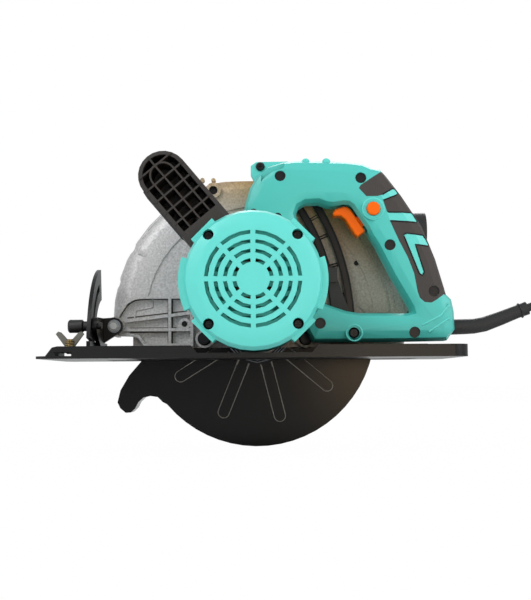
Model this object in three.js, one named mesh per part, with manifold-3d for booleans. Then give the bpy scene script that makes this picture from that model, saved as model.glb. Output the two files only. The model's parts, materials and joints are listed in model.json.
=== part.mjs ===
// Circular saw with a side-mounted motor, a D-shaped rear handle, a sprung lower guard and a tilting shoe.
// Millimetres. X runs to the rear, Y from the motor side to the blade side, Z up.
// The origin lies on the shoe's sole, in the plane of the spindle's axis.

import * as THREE from 'three';
import { mergeVertices } from 'three/addons/utils/BufferGeometryUtils.js';
import Module from 'manifold-3d';

const wasm = await Module();
wasm.setup();

// General clearances and overruns
const gap = 0.3;
const overrun = 1;
const seam = 0.15;

// Blade, spindle and motor axis
const bladeDiameter = 185;
const bladeThickness = 1.8;
const bladePlane = 28;
const bladeBore = 20;
const bladeTeeth = 24;
const gulletDepth = 7;
const spindleHeight = 26.5;
const motorHeight = 55;
const motorForward = 2;
const pinionTeeth = 16;
const gearTeeth = 36;
const gearNear = -15;
const gearWidth = 9;
const spindleRadius = 6;
const spindleNear = -21;
const flangeRadius = 19.5;
const flangeThickness = 3;
const boltHeadRadius = 7.5;
const boltHeadHeight = 6;
const boltShankRadius = 3.7;

// Upper guard, cast
const guardRadius = 122;
const guardForward = -2;
const guardCentreHeight = 33;
const guardFlatTop = 148.5;
const guardNear = 8;
const guardFar = 47;
const guardWall = 3;
const guardEdge = 7;
const guardBottom = 10;
const guardFrontBottom = 20;
const guardFarBottom = 36;
const guardRecessRadius = 94;
const guardRecessDepth = 1.2;
const notchSize = 7;
const hubRadius = 21;
const hubFar = 19.5;
const spoutRadius = 16.5;
const spoutEnd = 142;
const spoutHeight = 107;
const spoutSide = 29;
const guardLugRadius = 6.5;
const guardLugHole = 3.7;
const guardLugProud = 4;

// Front arm of the casting, with the pivot of the depth setting
const pivotX = -115.9;
const pivotHeight = 27.6;
const pivotLugRadius = 8;
const pivotPinRadius = 3;
const armNear = -2;
const armEnd = -52;
const armTop = 52.4;
const armBottom = 11;
const armRib = 2.4;
const armWeb = 4.5;
const armBossX = -59;
const armBossHeight = 29.2;
const armBossRadius = 5;

// Gear case
const caseRadius = 40;
const caseFlangeRadius = 49.5;
const caseNear = -21.7;
const caseWall = 3.5;
const gearPocketRadius = 21.7;
const gearPocketWall = 2;
const caseEarRadius = 7.5;
const caseScrewRadius = 2;

// Motor housing and end cap
const housingRadius = 50;
const housingWall = 3.5;
const housingNear = -105;
const housingFar = -22;
const capNear = -122;
const capWall = 3.5;
const capFaceRadius = 41;
const capRimRadius = 50.5;
const capSlope = 12;
const capEarRadius = 52.3;
const capBulgeRadius = 53.9;
const capBulgeDepth = 8;
const capScrewOffset = 31.8;
const capScrewHole = 4.05;
const capScrewShank = 2;
const slotRings = 4;
const slotOuterRadius = 34.8;
const slotWidth = 2.8;
const slotPitch = 6.7;
const slotSpoke = 3.6;
const slotSpokes = 8;
const screenRadius = 37;
const screenThickness = 1.2;
const screenSlits = 9;
const screenSlit = 3.2;
const screenPitch = 7;

// Motor parts
const shaftRadius = 4;
const coreRadius = 23;
const coreNear = -85;
const coreFar = -48;
const fieldRadius = 39.5;
const fieldYoke = 6.5;
const commutatorRadius = 13;
const commutatorNear = -99;
const commutatorFar = -89;
const fanRadius = 36;
const fanNear = -42;
const fanFar = -33;
const fanBlades = 10;
const brushWidth = 7;
const brushLength = 12;
const endBearingRadius = 9.3;
const endBearingWidth = 6;
const armatureBearingRadius = 13;
const armatureBearingWidth = 8;
const spindleBearingRadius = 16;
const spindleBearingWidth = 9;
const needleBearingRadius = 8.2;
const needleBearingWidth = 4;

// Rear handle, in two halves
const handleFront = -10;
const handleLength = 166;
const handleBottom = 13;
const handleHeight = 147;
const handleMiddle = -20;
const handleHalfWidth = 17;
const handleEdge = 8;
const handleWall = 3;
const gripDepth = 2;
const handleScrewHead = 4.3;
const handleScrewShank = 1.6;
const handleBossRadius = 6.4;
const lugPlateNear = -14;
const triggerWidth = 15;
const triggerTravel = 6;
const buttonRadius = 5.4;
const buttonRing = 8;
const buttonProud = 2.6;
const buttonTravel = 3;

// Front handle
const frontHandleAngle = 130;
const frontHandleReach = 120.5;
const frontHandleWidth = 37;
const frontHandleNear = -103;
const frontHandleFar = -71;
const frontHandleRim = 3.4;
const frontHandleRib = 1.3;
const frontHandleLoop = 8.5;
const frontHandleFloor = 6;
const frontHandleEdge = 8;
const frontHandleRibPitch = 10.6;

// Depth arc and its lever
const arcRadius = 186;
const arcWidth = 19.5;
const arcSlot = 6.6;
const arcNear = 1;
const arcThickness = 4;
const arcLowAngle = -6.5;
const arcHighAngle = 38.5;
const depthBoltAngle = 0.5;
const depthBoltRadius = 3;
const leverReach = 38;
const leverHubRadius = 8;
const leverTip = 8;

// Bevel hinge, quadrant and knob
const bevelSide = 16;
const bevelHeight = 7;
const bevelPinRadius = 2;
const bevelEarRadius = 4.7;
const quadrantX = -131;
const quadrantThickness = 3;
const quadrantRadius = 56;
const quadrantBand = 12.5;
const quadrantSlot = 6;
const bracketThickness = 3.3;
const bracketTop = 34;
const bracketEarThickness = 7.7;
const knobAngle = 160;
const knobRadius = 5.2;
const knobLength = 12;
const rearHingeX = 133;
const rearHingeLength = 6;

// Shoe and rip-fence clamp
const shoeFront = -164;
const shoeRear = 157.7;
const shoeNear = -85;
const shoeFar = 57;
const shoeThickness = 2;
const lipHeight = 9.2;
const lipThickness = 2;
const farLipHeight = 4;
const lipNotchFront = -44;
const lipNotchRear = 41;
const lipNotchHeight = 3.7;
const noseLength = 13;
const slotFront = -124;
const slotRear = 131;
const slotNear = 6;
const slotFar = 47.5;
const fenceX = -143;
const fenceSide = -54;
const fenceArchRadius = 8.4;
const fenceArchWall = 2;
const fenceArchLength = 24;
const fenceScrewRadius = 2.4;
const fenceScrewTop = 22;
const fenceWingSpan = 26;
const fenceSpringRadius = 4.3;
const fenceSpringWire = 0.9;
const fenceSpringCurls = 5;

// Lower guard
const lowerGuardRadius = 97.7;
const lowerGuardNear = 15.5;
const lowerGuardFar = 40;
const lowerGuardWall = 1.8;
const lowerGuardOpenRadius = 62;
const beadProud = 1;
const beadWidth = 9;
const beadEnd = 75;
const beadStart = 30;
const returnSpringWire = 1.2;
const returnSpringTurns = 3;

// Supply cord
const cordDiameter = 6.7;
const bootRadius = 6.4;
const coilTurns = 6.25;
const coilOuterRadius = 51.5;
const coilX = 294;
const coilPitch = 7.2;
const plugLength = 38;
const plugWidth = 30;
const pinRadius = 2.4;
const pinLength = 19;
const pinSpacing = 19;

// Finishes
const finish = (color, roughness, metalness = 0) =>
  new THREE.MeshStandardMaterial({ color, roughness, metalness });
const teal = finish(0x62d6cc, 0.45);
const orange = finish(0xff6a00, 0.4);
const gripRubber = finish(0x4a4440, 0.75);
const blackPlastic = finish(0x1c1c1d, 0.5);
const guardBlack = finish(0x141415, 0.35);
const blackPaint = finish(0x26282a, 0.45, 0.3);
const castMetal = finish(0xaeb0b0, 0.5, 0.6);
const steel = finish(0x8d9196, 0.35, 0.9);
const darkSteel = finish(0x55595c, 0.4, 0.8);
const zinc = finish(0xc9cbc8, 0.3, 0.9);
const laminate = finish(0x6a6c70, 0.5, 0.7);
const copper = finish(0xb8693a, 0.35, 0.9);
const brass = finish(0xc8a24a, 0.35, 0.9);
const carbon = finish(0x2a2a2c, 0.8);
const cordRubber = finish(0x171718, 0.6);

// Solids: closed geometries become manifolds, so that they can be joined and cut
const solid = (geometry) => {
  const bare = geometry.clone();
  for (const name of Object.keys(bare.attributes)) if (name !== 'position') bare.deleteAttribute(name);
  const merged = mergeVertices(bare);
  const corners = Array.from(merged.index.array);
  const whole = corners.filter((_, i) => {
    const [a, b, c] = corners.slice(i - (i % 3), i - (i % 3) + 3);
    return a !== b && b !== c && c !== a;
  });
  const triVerts = new Uint32Array(whole);
  const vertProperties = new Float32Array(merged.attributes.position.array);
  const make = () => new wasm.Manifold(new wasm.Mesh({ numProp: 3, vertProperties, triVerts }));
  const form = make();
  if (form.volume() > 0) return form;
  for (let i = 0; i < triVerts.length; i += 3) triVerts.subarray(i, i + 3).reverse();
  return make();
};
const fineness = 0.03;
const geometryOf = (form) => {
  const { vertProperties, triVerts } = form.asOriginal().simplify(fineness).getMesh();
  const geometry = new THREE.BufferGeometry();
  geometry.setAttribute('position', new THREE.BufferAttribute(new Float32Array(vertProperties), 3));
  geometry.setIndex(new THREE.BufferAttribute(new Uint32Array(triVerts), 1));
  const loose = geometry.toNonIndexed();
  loose.computeVertexNormals();
  return loose;
};
const join = (...forms) => forms.flat().reduce((whole, form) => whole.add(form));
const cut = (form, ...tools) => tools.flat().reduce((rest, tool) => rest.subtract(tool), form);
const common = (first, second) => first.intersect(second);
const hull = (...forms) => wasm.Manifold.hull(forms.flat());
const count = (total, make) => Array.from({ length: total }, (_, index) => make(index));

// Outlines: lists of points in a plane
const radians = THREE.MathUtils.degToRad;
const polar = (x, z, radius, degrees) => [x + radius * Math.cos(radians(degrees)),
  z + radius * Math.sin(radians(degrees))];
const arc = (x, z, radius, from, to, steps = 16) =>
  count(steps + 1, (i) => polar(x, z, radius, from + ((to - from) * i) / steps));
const sideCounts = [[2.2, 8], [4.5, 12], [9, 12], [14, 16], [30, 24], [60, 32], [Infinity, 44]];
const sidesFor = (radius) => sideCounts.find(([most]) => radius < most)[1];
const circle = (x, z, radius, sides = sidesFor(radius)) => arc(x, z, radius, 0, 360 - 360 / sides, sides - 1);
const rectangle = (left, low, right, high) => [[left, low], [right, low], [right, high], [left, high]];
const ringSector = (x, z, inner, outer, from, to, steps = 8) =>
  [...arc(x, z, outer, from, to, steps), ...arc(x, z, inner, to, from, steps)];
const counterClockwise = (points) => {
  const vectors = points.map(([x, z]) => new THREE.Vector2(x, z));
  return THREE.ShapeUtils.isClockWise(vectors) ? [...points].reverse() : points;
};
const inset = (points, distance) => {
  const loop = counterClockwise(points);
  const normal = ([ax, az], [bx, bz]) => {
    const length = Math.hypot(bx - ax, bz - az);
    return [(az - bz) / length, (bx - ax) / length];
  };
  return loop.map((point, i) => {
    const [ax, az] = normal(loop[(i + loop.length - 1) % loop.length], point);
    const [bx, bz] = normal(point, loop[(i + 1) % loop.length]);
    const reach = distance / (1 + ax * bx + az * bz);
    return [point[0] + (ax + bx) * reach, point[1] + (az + bz) * reach];
  });
};

// Extrusions of an outline: across runs along Y, upward along Z and lengthwise along X
const extruded = (points, length, edge, holes) => {
  const shape = new THREE.Shape(counterClockwise(points).map(([x, z]) => new THREE.Vector2(x, z)));
  shape.holes = holes.map((hole) => new THREE.Path(hole.map(([x, z]) => new THREE.Vector2(x, z))));
  const settings = { depth: length - 2 * edge, bevelEnabled: edge > 0, bevelThickness: edge,
    bevelSize: edge };
  const geometry = new THREE.ExtrudeGeometry(shape,
    { ...settings, bevelOffset: -edge, bevelSegments: edge < handleEdge ? 1 : 2 });
  return geometry.translate(0, 0, edge);
};
const across = (points, near, far, edge = 0, holes = []) =>
  solid(extruded(points, far - near, edge, holes).rotateX(Math.PI / 2).translate(0, far, 0));
const upward = (points, low, high, edge = 0, holes = []) =>
  solid(extruded(points, high - low, edge, holes).translate(0, 0, low));
const turnToLength = new THREE.Matrix4().makeBasis(
  new THREE.Vector3(0, 1, 0), new THREE.Vector3(0, 0, 1), new THREE.Vector3(1, 0, 0));
const lengthwise = (points, left, right, edge = 0, holes = []) =>
  solid(extruded(points, right - left, edge, holes).applyMatrix4(turnToLength).translate(left, 0, 0));

// Turned forms about an axis along Y
const disc = (radius, near, far, x = 0, z = 0, sides = sidesFor(radius)) =>
  solid(new THREE.CylinderGeometry(radius, radius, far - near, sides).translate(x, (near + far) / 2, z));
const turned = (profile, x = 0, z = 0) => {
  const sides = sidesFor(Math.max(...profile.map(([radius]) => radius)));
  const loop = profile[0][0] === 0 ? profile : [...profile, profile[0]];
  const points = loop.map(([radius, y]) => new THREE.Vector2(radius, y));
  return solid(new THREE.LatheGeometry(points, sides).translate(x, 0, z));
};
const ring = (inner, outer, near, far, x = 0, z = 0) =>
  turned([[inner, near], [outer, near], [outer, far], [inner, far]], x, z);
const block = (left, near, low, right, far, high) => {
  const geometry = new THREE.BoxGeometry(right - left, far - near, high - low);
  return solid(geometry.translate((left + right) / 2, (near + far) / 2, (low + high) / 2));
};

// A tube along given points, with its own radius at each, closed by flat ends
const tube = (points, radii, sides) => {
  const positions = [];
  const tangents = points.map((point, i) =>
    points[Math.min(i + 1, points.length - 1)].clone().sub(points[Math.max(i - 1, 0)]).normalize());
  let side = new THREE.Vector3(0, 0, 1).cross(tangents[0]);
  if (side.lengthSq() < 0.01) side = new THREE.Vector3(0, 1, 0).cross(tangents[0]);
  points.forEach((point, i) => {
    side.sub(tangents[i].clone().multiplyScalar(side.dot(tangents[i]))).normalize();
    const other = tangents[i].clone().cross(side);
    for (let k = 0; k < sides; k += 1) {
      const turn = (2 * Math.PI * k) / sides;
      const offset = side.clone().multiplyScalar(Math.cos(turn)).addScaledVector(other, Math.sin(turn));
      positions.push(...point.clone().addScaledVector(offset, radii[i]).toArray());
    }
  });
  const faces = [];
  for (let i = 0; i < points.length - 1; i += 1) {
    for (let k = 0; k < sides; k += 1) {
      const [a, b] = [i * sides + k, i * sides + ((k + 1) % sides)];
      faces.push(a, b, a + sides, b, b + sides, a + sides);
    }
  }
  const last = (points.length - 1) * sides;
  for (let k = 1; k < sides - 1; k += 1) faces.push(0, k + 1, k, last, last + k, last + k + 1);
  const geometry = new THREE.BufferGeometry();
  geometry.setAttribute('position', new THREE.Float32BufferAttribute(positions, 3));
  geometry.setIndex(faces);
  return solid(geometry);
};

// Scene graph helpers
const piece = (name, form, material) => {
  const mesh = new THREE.Mesh(geometryOf(form), material);
  mesh.name = name;
  return mesh;
};
// Places that several pieces share
const motorX = -motorForward;
const guardX = -guardForward;
const gearDistance = Math.hypot(motorX, motorHeight - spindleHeight);
const gearModule = (2 * gearDistance) / (gearTeeth + pinionTeeth);
const handleNear = handleMiddle - handleHalfWidth;
const handleFar = handleMiddle + handleHalfWidth;
const onHandle = (shares) =>
  shares.map(([x, z]) => [handleFront + x * handleLength, handleBottom + z * handleHeight]);
const capScrewSpots = [[-1, 1], [1, 1], [1, -1], [-1, -1]].map(([x, z]) =>
  [motorX + x * capScrewOffset, motorHeight + z * capScrewOffset]);
const [depthBoltX, depthBoltHeight] = polar(pivotX, pivotHeight, arcRadius, depthBoltAngle);
const bladeNear = bladePlane - bladeThickness / 2;
const bladeFar = bladePlane + bladeThickness / 2;
const floorHeight = spindleHeight - lowerGuardRadius;

const spindleAxis = [0, spindleHeight];
const motorAxis = [motorX, motorHeight];
const caseFar = guardNear - gap;
const capFar = housingNear - gap;
const housingBore = housingRadius - housingWall;
const coverNear = handleMiddle + gap / 2;
const reach = 4 * guardRadius;

const caseScrewSpots = [[-43, 17], [39.5, 16.7], [-33, 86], [29, 86]];
const frontScrewHead = 5;
const frontScrewShank = 2.5;
const frontScrewPlace = [(frontHandleNear + frontHandleFar) / 2, 0];

// Upper guard: a cast shell with a hub, the front arm, a lug for the handle and a stub for the spout
const guardEdgeShares = { outside: [[1.9, 0], [1.1, 0.3], [0.4, 0.9], [0, 2]],
  inside: [[0.9, 1.3], [0.43, 2.3]] };
const guardFarStep = 40;
const notchAngles = [150.3, 165];
const stubRadius = 13.4;
const stubWall = 2.2;
const stubEnd = 128;
const handleLugX = 3.4;
const handleLugHeight = 155.8;
const handleLugRadius = 6;
const guardLugX = -35.6;
const guardLugHeight = 140;
const spigotRadius = 19.7;
const spigotNear = 17.5;
const hubLipRadius = 13.5;
const armOutlineShares = [[0.01, 0.594], [0.058, 0.72], [0.138, 0.891], [0.235, 0.978], [0.346, 1], [1, 1],
  [1, 0], [0.374, 0],
  [0.296, 0.176], [0.186, 0.205], [0.045, 0.21]];
const armRibShares = [[[0.12, 0.5], [1, 0.66]], [[0.11, 0.33], [1, 0.33]], [[0.7, 0.02], [0.7, 0.98]]];
const onArm = (shares) =>
  shares.map(([x, z]) => [pivotX + x * (armEnd - pivotX), armBottom + z * (armTop - armBottom)]);
const bar = (from, to, width, near, far) => {
  const [dx, dz] = [to[0] - from[0], to[1] - from[1]];
  const share = width / 2 / Math.hypot(dx, dz);
  const [sideX, sideZ] = [-dz * share, dx * share];
  return across([[from[0] + sideX, from[1] + sideZ], [to[0] + sideX, to[1] + sideZ],
    [to[0] - sideX, to[1] - sideZ], [from[0] - sideX, from[1] - sideZ]], near, far);
};
const guardOutside = (grow = 0) => {
  const near = guardNear - guardRecessDepth - grow;
  const radius = guardRadius + grow;
  const rounded = guardEdgeShares.outside.map(([r, y]) => [radius - r * guardEdge, near + y * guardEdge]);
  const profile = [[0, guardNear - grow], [guardRecessRadius, guardNear - grow], [guardRecessRadius, near],
    ...rounded,
    [radius, guardFar - guardEdge / 2], [radius - guardEdge / 2, guardFar + grow], [0, guardFar + grow]];
  return turned(profile, guardX, guardCentreHeight);
};
const guardInside = () => {
  const near = guardNear + guardWall;
  const radius = guardRadius - guardWall;
  const far = guardFar - guardWall;
  const rounded = guardEdgeShares.inside.map(([r, y]) =>
    [guardRadius - r * guardEdge, guardNear + y * guardEdge - guardRecessDepth]);
  const profile = [[0, near], [guardRadius - 2.2 * guardEdge, near], ...rounded,
    [radius, far - guardEdge / 2],
    [radius - guardEdge / 2, far], [0, far]];
  const room = turned(profile, guardX, guardCentreHeight);
  return cut(room, block(-reach, -reach, guardFlatTop - guardWall, reach, reach, reach));
};
const guardFootShares = [[0.86, 0.25], [1.045, 0.06], [1.045, -0.02], [0.86, -0.02]];
const guardFoot = () => across(guardFootShares.map(([x, z]) =>
  [guardX + x * guardRadius, guardCentreHeight + z * guardRadius]),
  guardNear - guardRecessDepth, guardNear + guardWall);
const frontArm = () => {
  const outline = onArm(armOutlineShares);
  const web = across(outline, guardNear - armWeb, guardNear + seam);
  const edge = cut(across(outline, armNear, guardNear),
    across(inset(outline, armRib), armNear - overrun, guardNear + overrun));
  const ribs = armRibShares.map((ends) => {
    const [from, to] = onArm(ends);
    return bar(from, to, armRib, armNear, guardNear);
  });
  const lug = disc(pivotLugRadius, 0, guardNear + guardWall, pivotX, pivotHeight);
  const boss = disc(armBossRadius, armNear, guardNear, armBossX, armBossHeight);
  const clear = block(pivotX - pivotLugRadius, armNear - overrun, 0, pivotX + pivotLugRadius + overrun, 0,
    armTop);
  return join(cut(join(web, edge, ribs), clear), lug, boss);
};
const upperGuard = () => {
  const spout = (radius, from, to) => lengthwise(circle(spoutSide, spoutHeight, radius), from, to);
  const lug = disc(handleLugRadius, handleFar + gap, guardNear + 2 * guardWall, handleLugX, handleLugHeight);
  const lugFoot = block(handleLugX - handleLugRadius, guardNear, guardFlatTop - guardWall,
    handleLugX + handleLugRadius, guardNear + 2 * guardWall, handleLugHeight);
  const shell = cut(guardOutside(), block(-reach, -reach, guardFlatTop, reach, reach, reach));
  const outer = join(shell, guardFoot(), spout(stubRadius, guardRadius / 2, stubEnd),
    disc(guardLugRadius, guardNear - guardLugProud, guardNear + guardWall, guardLugX, guardLugHeight), lug,
      lugFoot);
  const notches = notchAngles.map((angle) => {
    const [x, z] = polar(guardX, guardCentreHeight, guardRadius + 0.7 * notchSize, angle);
    return disc(notchSize, guardNear - 2 * guardRecessDepth, guardFar + overrun, x, z);
  });
  const hollow = cut(outer, guardInside(), notches,
    block(-reach, -reach, -reach, reach, reach, guardBottom),
    block(-reach, -reach, -reach, pivotX + guardEdge * 2, reach, guardFrontBottom),
    block(-reach, guardFarStep, -reach, reach, reach, guardFarBottom),
    spout(stubRadius - stubWall, guardRadius / 2, stubEnd + overrun),
    disc(guardLugHole, -reach, guardNear + guardWall / 3, guardLugX, guardLugHeight));
  const hub = join(disc(hubRadius, guardNear, spigotNear, ...spindleAxis),
    disc(spigotRadius, guardNear, hubFar, ...spindleAxis));
  const holes = caseScrewSpots.map(([x, z]) => disc(caseScrewRadius + seam, guardNear - overrun, reach, x,
    z));
  return cut(join(hollow, hub, frontArm()),
    disc(spindleBearingRadius + seam, guardNear - overrun, spigotNear - gap, ...spindleAxis),
    disc(hubLipRadius, 0, hubFar + overrun, ...spindleAxis),
    disc(pivotPinRadius + seam, -overrun, guardNear + 4 * guardWall, pivotX, pivotHeight),
    disc(depthBoltRadius + seam, 0, guardNear + 2 * guardWall, depthBoltX, depthBoltHeight),
    disc(handleScrewShank + seam, handleFar - overrun, guardNear + guardWall, handleLugX, handleLugHeight),
    disc(armBossRadius / 2, armNear - overrun, guardNear - armWeb, armBossX, armBossHeight),
    holes);
};

// Dust spout, a sleeve on the guard's stub
const spoutStart = 110;
const dustSpout = () => {
  const hole = circle(spoutSide, spoutHeight, stubRadius + seam);
  return lengthwise(circle(spoutSide, spoutHeight, spoutRadius), spoutStart, spoutEnd, 0, [hole]);
};

// Gear case, closed by the guard
const caseFlangeThickness = 4;
const caseEarThickness = 8.5;
const collarLength = 9.4;
const collarWall = 3;
const needleBoss = 2.3;
const caseShaftHole = 6.5;
const gearCase = () => {
  const floor = caseNear + caseWall;
  const pocket = gearPocketRadius + gearPocketWall;
  const ears = caseScrewSpots.map(([x, z]) => {
    const near = caseFar - caseEarThickness;
    return hull(disc(caseEarRadius, near, caseFar, x, z),
      disc(caseEarRadius, near, caseFar, x / 2, (z + motorHeight) / 2));
  });
  const outer = join(disc(caseFlangeRadius, caseNear, caseNear + caseFlangeThickness, ...motorAxis),
    disc(caseRadius, caseNear, caseFar, ...motorAxis), disc(pocket, caseNear, caseFar, ...spindleAxis), ears,
    disc(armatureBearingRadius + collarWall, caseNear - collarLength, floor, ...motorAxis));
  const inner = join(disc(caseRadius - caseWall, floor, caseFar + overrun, ...motorAxis),
    disc(gearPocketRadius, floor, caseFar + overrun, ...spindleAxis));
  const boss = disc(needleBearingRadius + needleBoss, caseNear - needleBoss, floor + overrun, ...spindleAxis);
  const screws = caseScrewSpots.map(([x, z]) => disc(caseScrewRadius + seam, -reach, reach, x, z));
  return cut(join(cut(outer, inner), boss),
    disc(armatureBearingRadius + seam, -reach, caseNear - gap, ...motorAxis),
    disc(caseShaftHole, -reach, floor + overrun, ...motorAxis),
    disc(needleBearingRadius + seam, caseNear - needleBoss / 2, reach, ...spindleAxis), screws);
};

// Screws with a domed head and a cross recess, their axes along Y and their heads on the near side
const crossScrew = (x, z, near, far, head, shank, height = 0.6 * head) => {
  const dome = turned([[0, near - height], [0.7 * head, near - height], [head, near - 0.4 * height],
    [head, near], [0, near]], x, z);
  const recess = [0, 90].map((angle) => {
    const slot = block(-0.55 * head, -height, -0.12 * head, 0.55 * head, height / 2, 0.12 * head);
    return slot.rotate([0, angle, 0]).translate([x, near - 0.7 * height, z]);
  });
  return join(cut(dome, recess), disc(shank, near - height / 4, far, x, z));
};

// Motor housing with the near half of the rear handle
const handleOutlineShares = [[-0.001, 0.701], [0.008, 0.744], [0.03, 0.831], [0.066, 0.899], [0.119, 0.948],
  [0.191, 0.974],
  [0.268, 0.981], [0.485, 0.974], [0.571, 0.962], [0.615, 0.94], [0.653, 0.932], [0.682, 0.896],
    [0.754, 0.788],
  [0.851, 0.619], [0.913, 0.44], [0.952, 0.288], [0.961, 0.25], [0.985, 0.223], [0.997, 0.157],
    [0.999, 0.061],
  [0.961, 0.003], [0.749, 0], [0.326, 0]];
const openingShares = [[0.249, 0.69], [0.263, 0.731], [0.297, 0.752], [0.36, 0.755], [0.398, 0.738],
  [0.43, 0.735],
  [0.476, 0.743], [0.501, 0.741], [0.518, 0.727], [0.587, 0.61], [0.605, 0.567], [0.634, 0.516],
    [0.706, 0.353],
  [0.793, 0.182], [0.798, 0.157], [0.769, 0.149], [0.543, 0.153], [0.485, 0.164], [0.417, 0.19],
    [0.355, 0.217]];
const gripShares = [[0.549, 0.822], [0.558, 0.839], [0.68, 0.93], [0.77, 0.9], [1.1, 0.3], [1, 0.245],
  [0.946, 0.248],
  [0.904, 0.215], [0.884, 0.203], [0.852, 0.207], [0.83, 0.229], [0.82, 0.263], [0.805, 0.361],
    [0.777, 0.446],
  [0.737, 0.535], [0.695, 0.642], [0.667, 0.743], [0.655, 0.784], [0.638, 0.778], [0.584, 0.778]];
const handleScrewShares = [[0.175, 0.892], [0.694, 0.515], [0.359, 0.097], [0.518, 0.045], [0.804, 0.046],
  [0.898, 0.265], [0.559, 0.878]];
const lugShares = [[0.034, 0.976], [0.061, 0.998], [0.213, 1], [0.222, 0.986], [0.222, 0.948], [0.12, 0.86],
  [0.057, 0.88], [0.034, 0.932]];
const triggerShares = [[0.428, 0.696], [0.44, 0.718], [0.478, 0.733], [0.496, 0.731], [0.511, 0.72],
  [0.5795, 0.603],
  [0.5795, 0.594], [0.544, 0.567], [0.5295, 0.586], [0.489, 0.661], [0.467, 0.682], [0.433, 0.682]];
const stemShares = [[0.535, 0.673], [0.562, 0.621], [0.605, 0.649], [0.575, 0.706]];
const triggerAngle = 31;
const [buttonX, buttonHeight] = [92.3, 117.3];
const bootHeight = 24.4;
const headRecess = 4;
const screwEnd = -6.5;
const outline = onHandle(handleOutlineShares);
const opening = onHandle(openingShares);
const handleScrewSpots = onHandle(handleScrewShares);
const handleSolid = (grow = 0) => {
  const [near, far] = [handleNear - grow, handleFar + grow];
  return across(inset(outline, -grow), near, far, handleEdge + grow, [inset(opening, grow)]);
};
const gripRegion = () => across(onHandle(gripShares), -reach, reach);
const triggerRoom = () => {
  const [dx, dz] = polar(0, 0, triggerTravel + gap, triggerAngle);
  const grown = inset(onHandle(triggerShares), -2 * gap);
  const stem = inset(onHandle(stemShares), -2 * gap);
  const moved = (points) => points.map(([x, z]) => [x + dx, z + dz]);
  const [near, far] = [handleMiddle - triggerWidth / 2 - gap, handleMiddle + triggerWidth / 2 + gap];
  return join(hull(across(grown, near, far), across(moved(grown), near, far)),
    hull(across(stem, near, far), across(moved(stem), near, far)));
};
const handleShell = () => {
  const inner = across(inset(outline, handleWall), handleNear + handleWall, handleFar - handleWall,
    handleEdge - handleWall, [inset(opening, -handleWall)]);
  const bosses = common(join(handleScrewSpots.map(([x, z]) =>
    disc(handleBossRadius, handleNear, handleFar, x, z))), handleSolid());
  const heads = handleScrewSpots.map(([x, z]) => disc(handleScrewHead + seam, -reach,
    handleNear + headRecess, x, z));
  const shanks = handleScrewSpots.map(([x, z]) =>
    disc(handleScrewShank + seam, -reach, screwEnd + gap, x, z));
  const grip = cut(common(gripRegion(), handleSolid(overrun)), handleSolid(-gripDepth));
  return cut(join(cut(handleSolid(), inner), bosses), heads, shanks, triggerRoom(), grip,
    lengthwise(circle(handleMiddle, bootHeight, bootRadius + gap),
      handleFront + handleLength - 2 * handleEdge, reach),
    disc(caseFlangeRadius + gap, housingFar - gap, reach, ...motorAxis));
};
const halfSpace = (near, far) => block(-reach, near, -reach, reach, far, reach);
const earHalfWidth = 10.6;
const earLength = 17;
const earRecess = 2;
const ear = (near, far, half = earHalfWidth) => {
  const plate = block(caseRadius - caseWall, near, -half, capEarRadius, far, half);
  return count(4, (k) => plate.rotate([0, 45 + k * 90, 0]).translate([motorX, 0, motorHeight]));
};
const bulgeAngles = [-24, 18];
const bulges = (near, far, radius) => {
  const [low, high] = bulgeAngles;
  const right = across(ringSector(...motorAxis, caseRadius, radius, low, high, 6), near, far);
  const left = across(ringSector(...motorAxis, caseRadius, radius, 180 - high, 180 - low, 6), near, far);
  return [right, left];
};
const fieldRibWidth = 7;
const slitAngles = [[76, 86], [96, 106]];
const slitWidth = 4;
const slitNear = -36;
const motorHousing = () => {
  const near = common(handleShell(), halfSpace(handleNear - overrun, handleMiddle - gap / 2));
  const ring = disc(buttonRing, handleNear - buttonProud / 3, handleNear + handleWall, buttonX, buttonHeight);
  const tubeForm = join(disc(housingRadius, housingNear, housingFar, ...motorAxis),
    ear(housingNear, housingNear + earLength),
    bulges(housingNear, housingNear + 3 * earLength, housingRadius + overrun + 1.5 * gap));
  const ribs = count(4, (k) => {
    const [x, z] = polar(...motorAxis, (fieldRadius + housingBore) / 2, 45 + 90 * k);
    return disc(fieldRibWidth / 2 + overrun, coreNear, coreFar, x, z);
  });
  const hollow = cut(join(tubeForm, near, ring), disc(housingBore, housingNear - overrun,
    housingFar + overrun, ...motorAxis));
  const slits = slitAngles.map(([from, to]) => across(ringSector(...motorAxis,
    housingRadius - 2 * housingWall, reach / 4, from, to, 3), slitNear, slitNear + slitWidth));
  const holes = capScrewSpots.map(([x, z]) => disc(capScrewShank + seam, housingNear - overrun,
    housingNear + earLength - handleWall, x, z));
  const kept = cut(join(ribs), disc(fieldRadius + seam, -reach, reach, ...motorAxis));
  return cut(join(hollow, kept), slits, holes, disc(buttonRadius + gap, -reach, handleMiddle, buttonX,
    buttonHeight),
    lengthwise(circle(...frontScrewPlace, frontScrewShank + seam), 0,
      reach).rotate([0, -frontHandleAngle, 0]).translate([motorX, 0, motorHeight]));
};
const handleCover = () => {
  const far = common(handleShell(), halfSpace(coverNear, handleFar + overrun));
  const lug = across(onHandle(lugShares), lugPlateNear, handleFar, seam);
  return cut(join(far, lug), disc(handleScrewShank + seam, -reach, reach, handleLugX, handleLugHeight));
};
const railScrew = () => {
  const [x, z] = handleScrewSpots[3];
  return crossScrew(x, z, handleNear + headRecess - seam, screwEnd, handleScrewHead, handleScrewShank);
};
const lugScrew = () =>
  crossScrew(handleLugX, handleLugHeight, lugPlateNear - seam, guardNear + guardWall - gap,
    0.85 * handleScrewHead, handleScrewShank);
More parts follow.
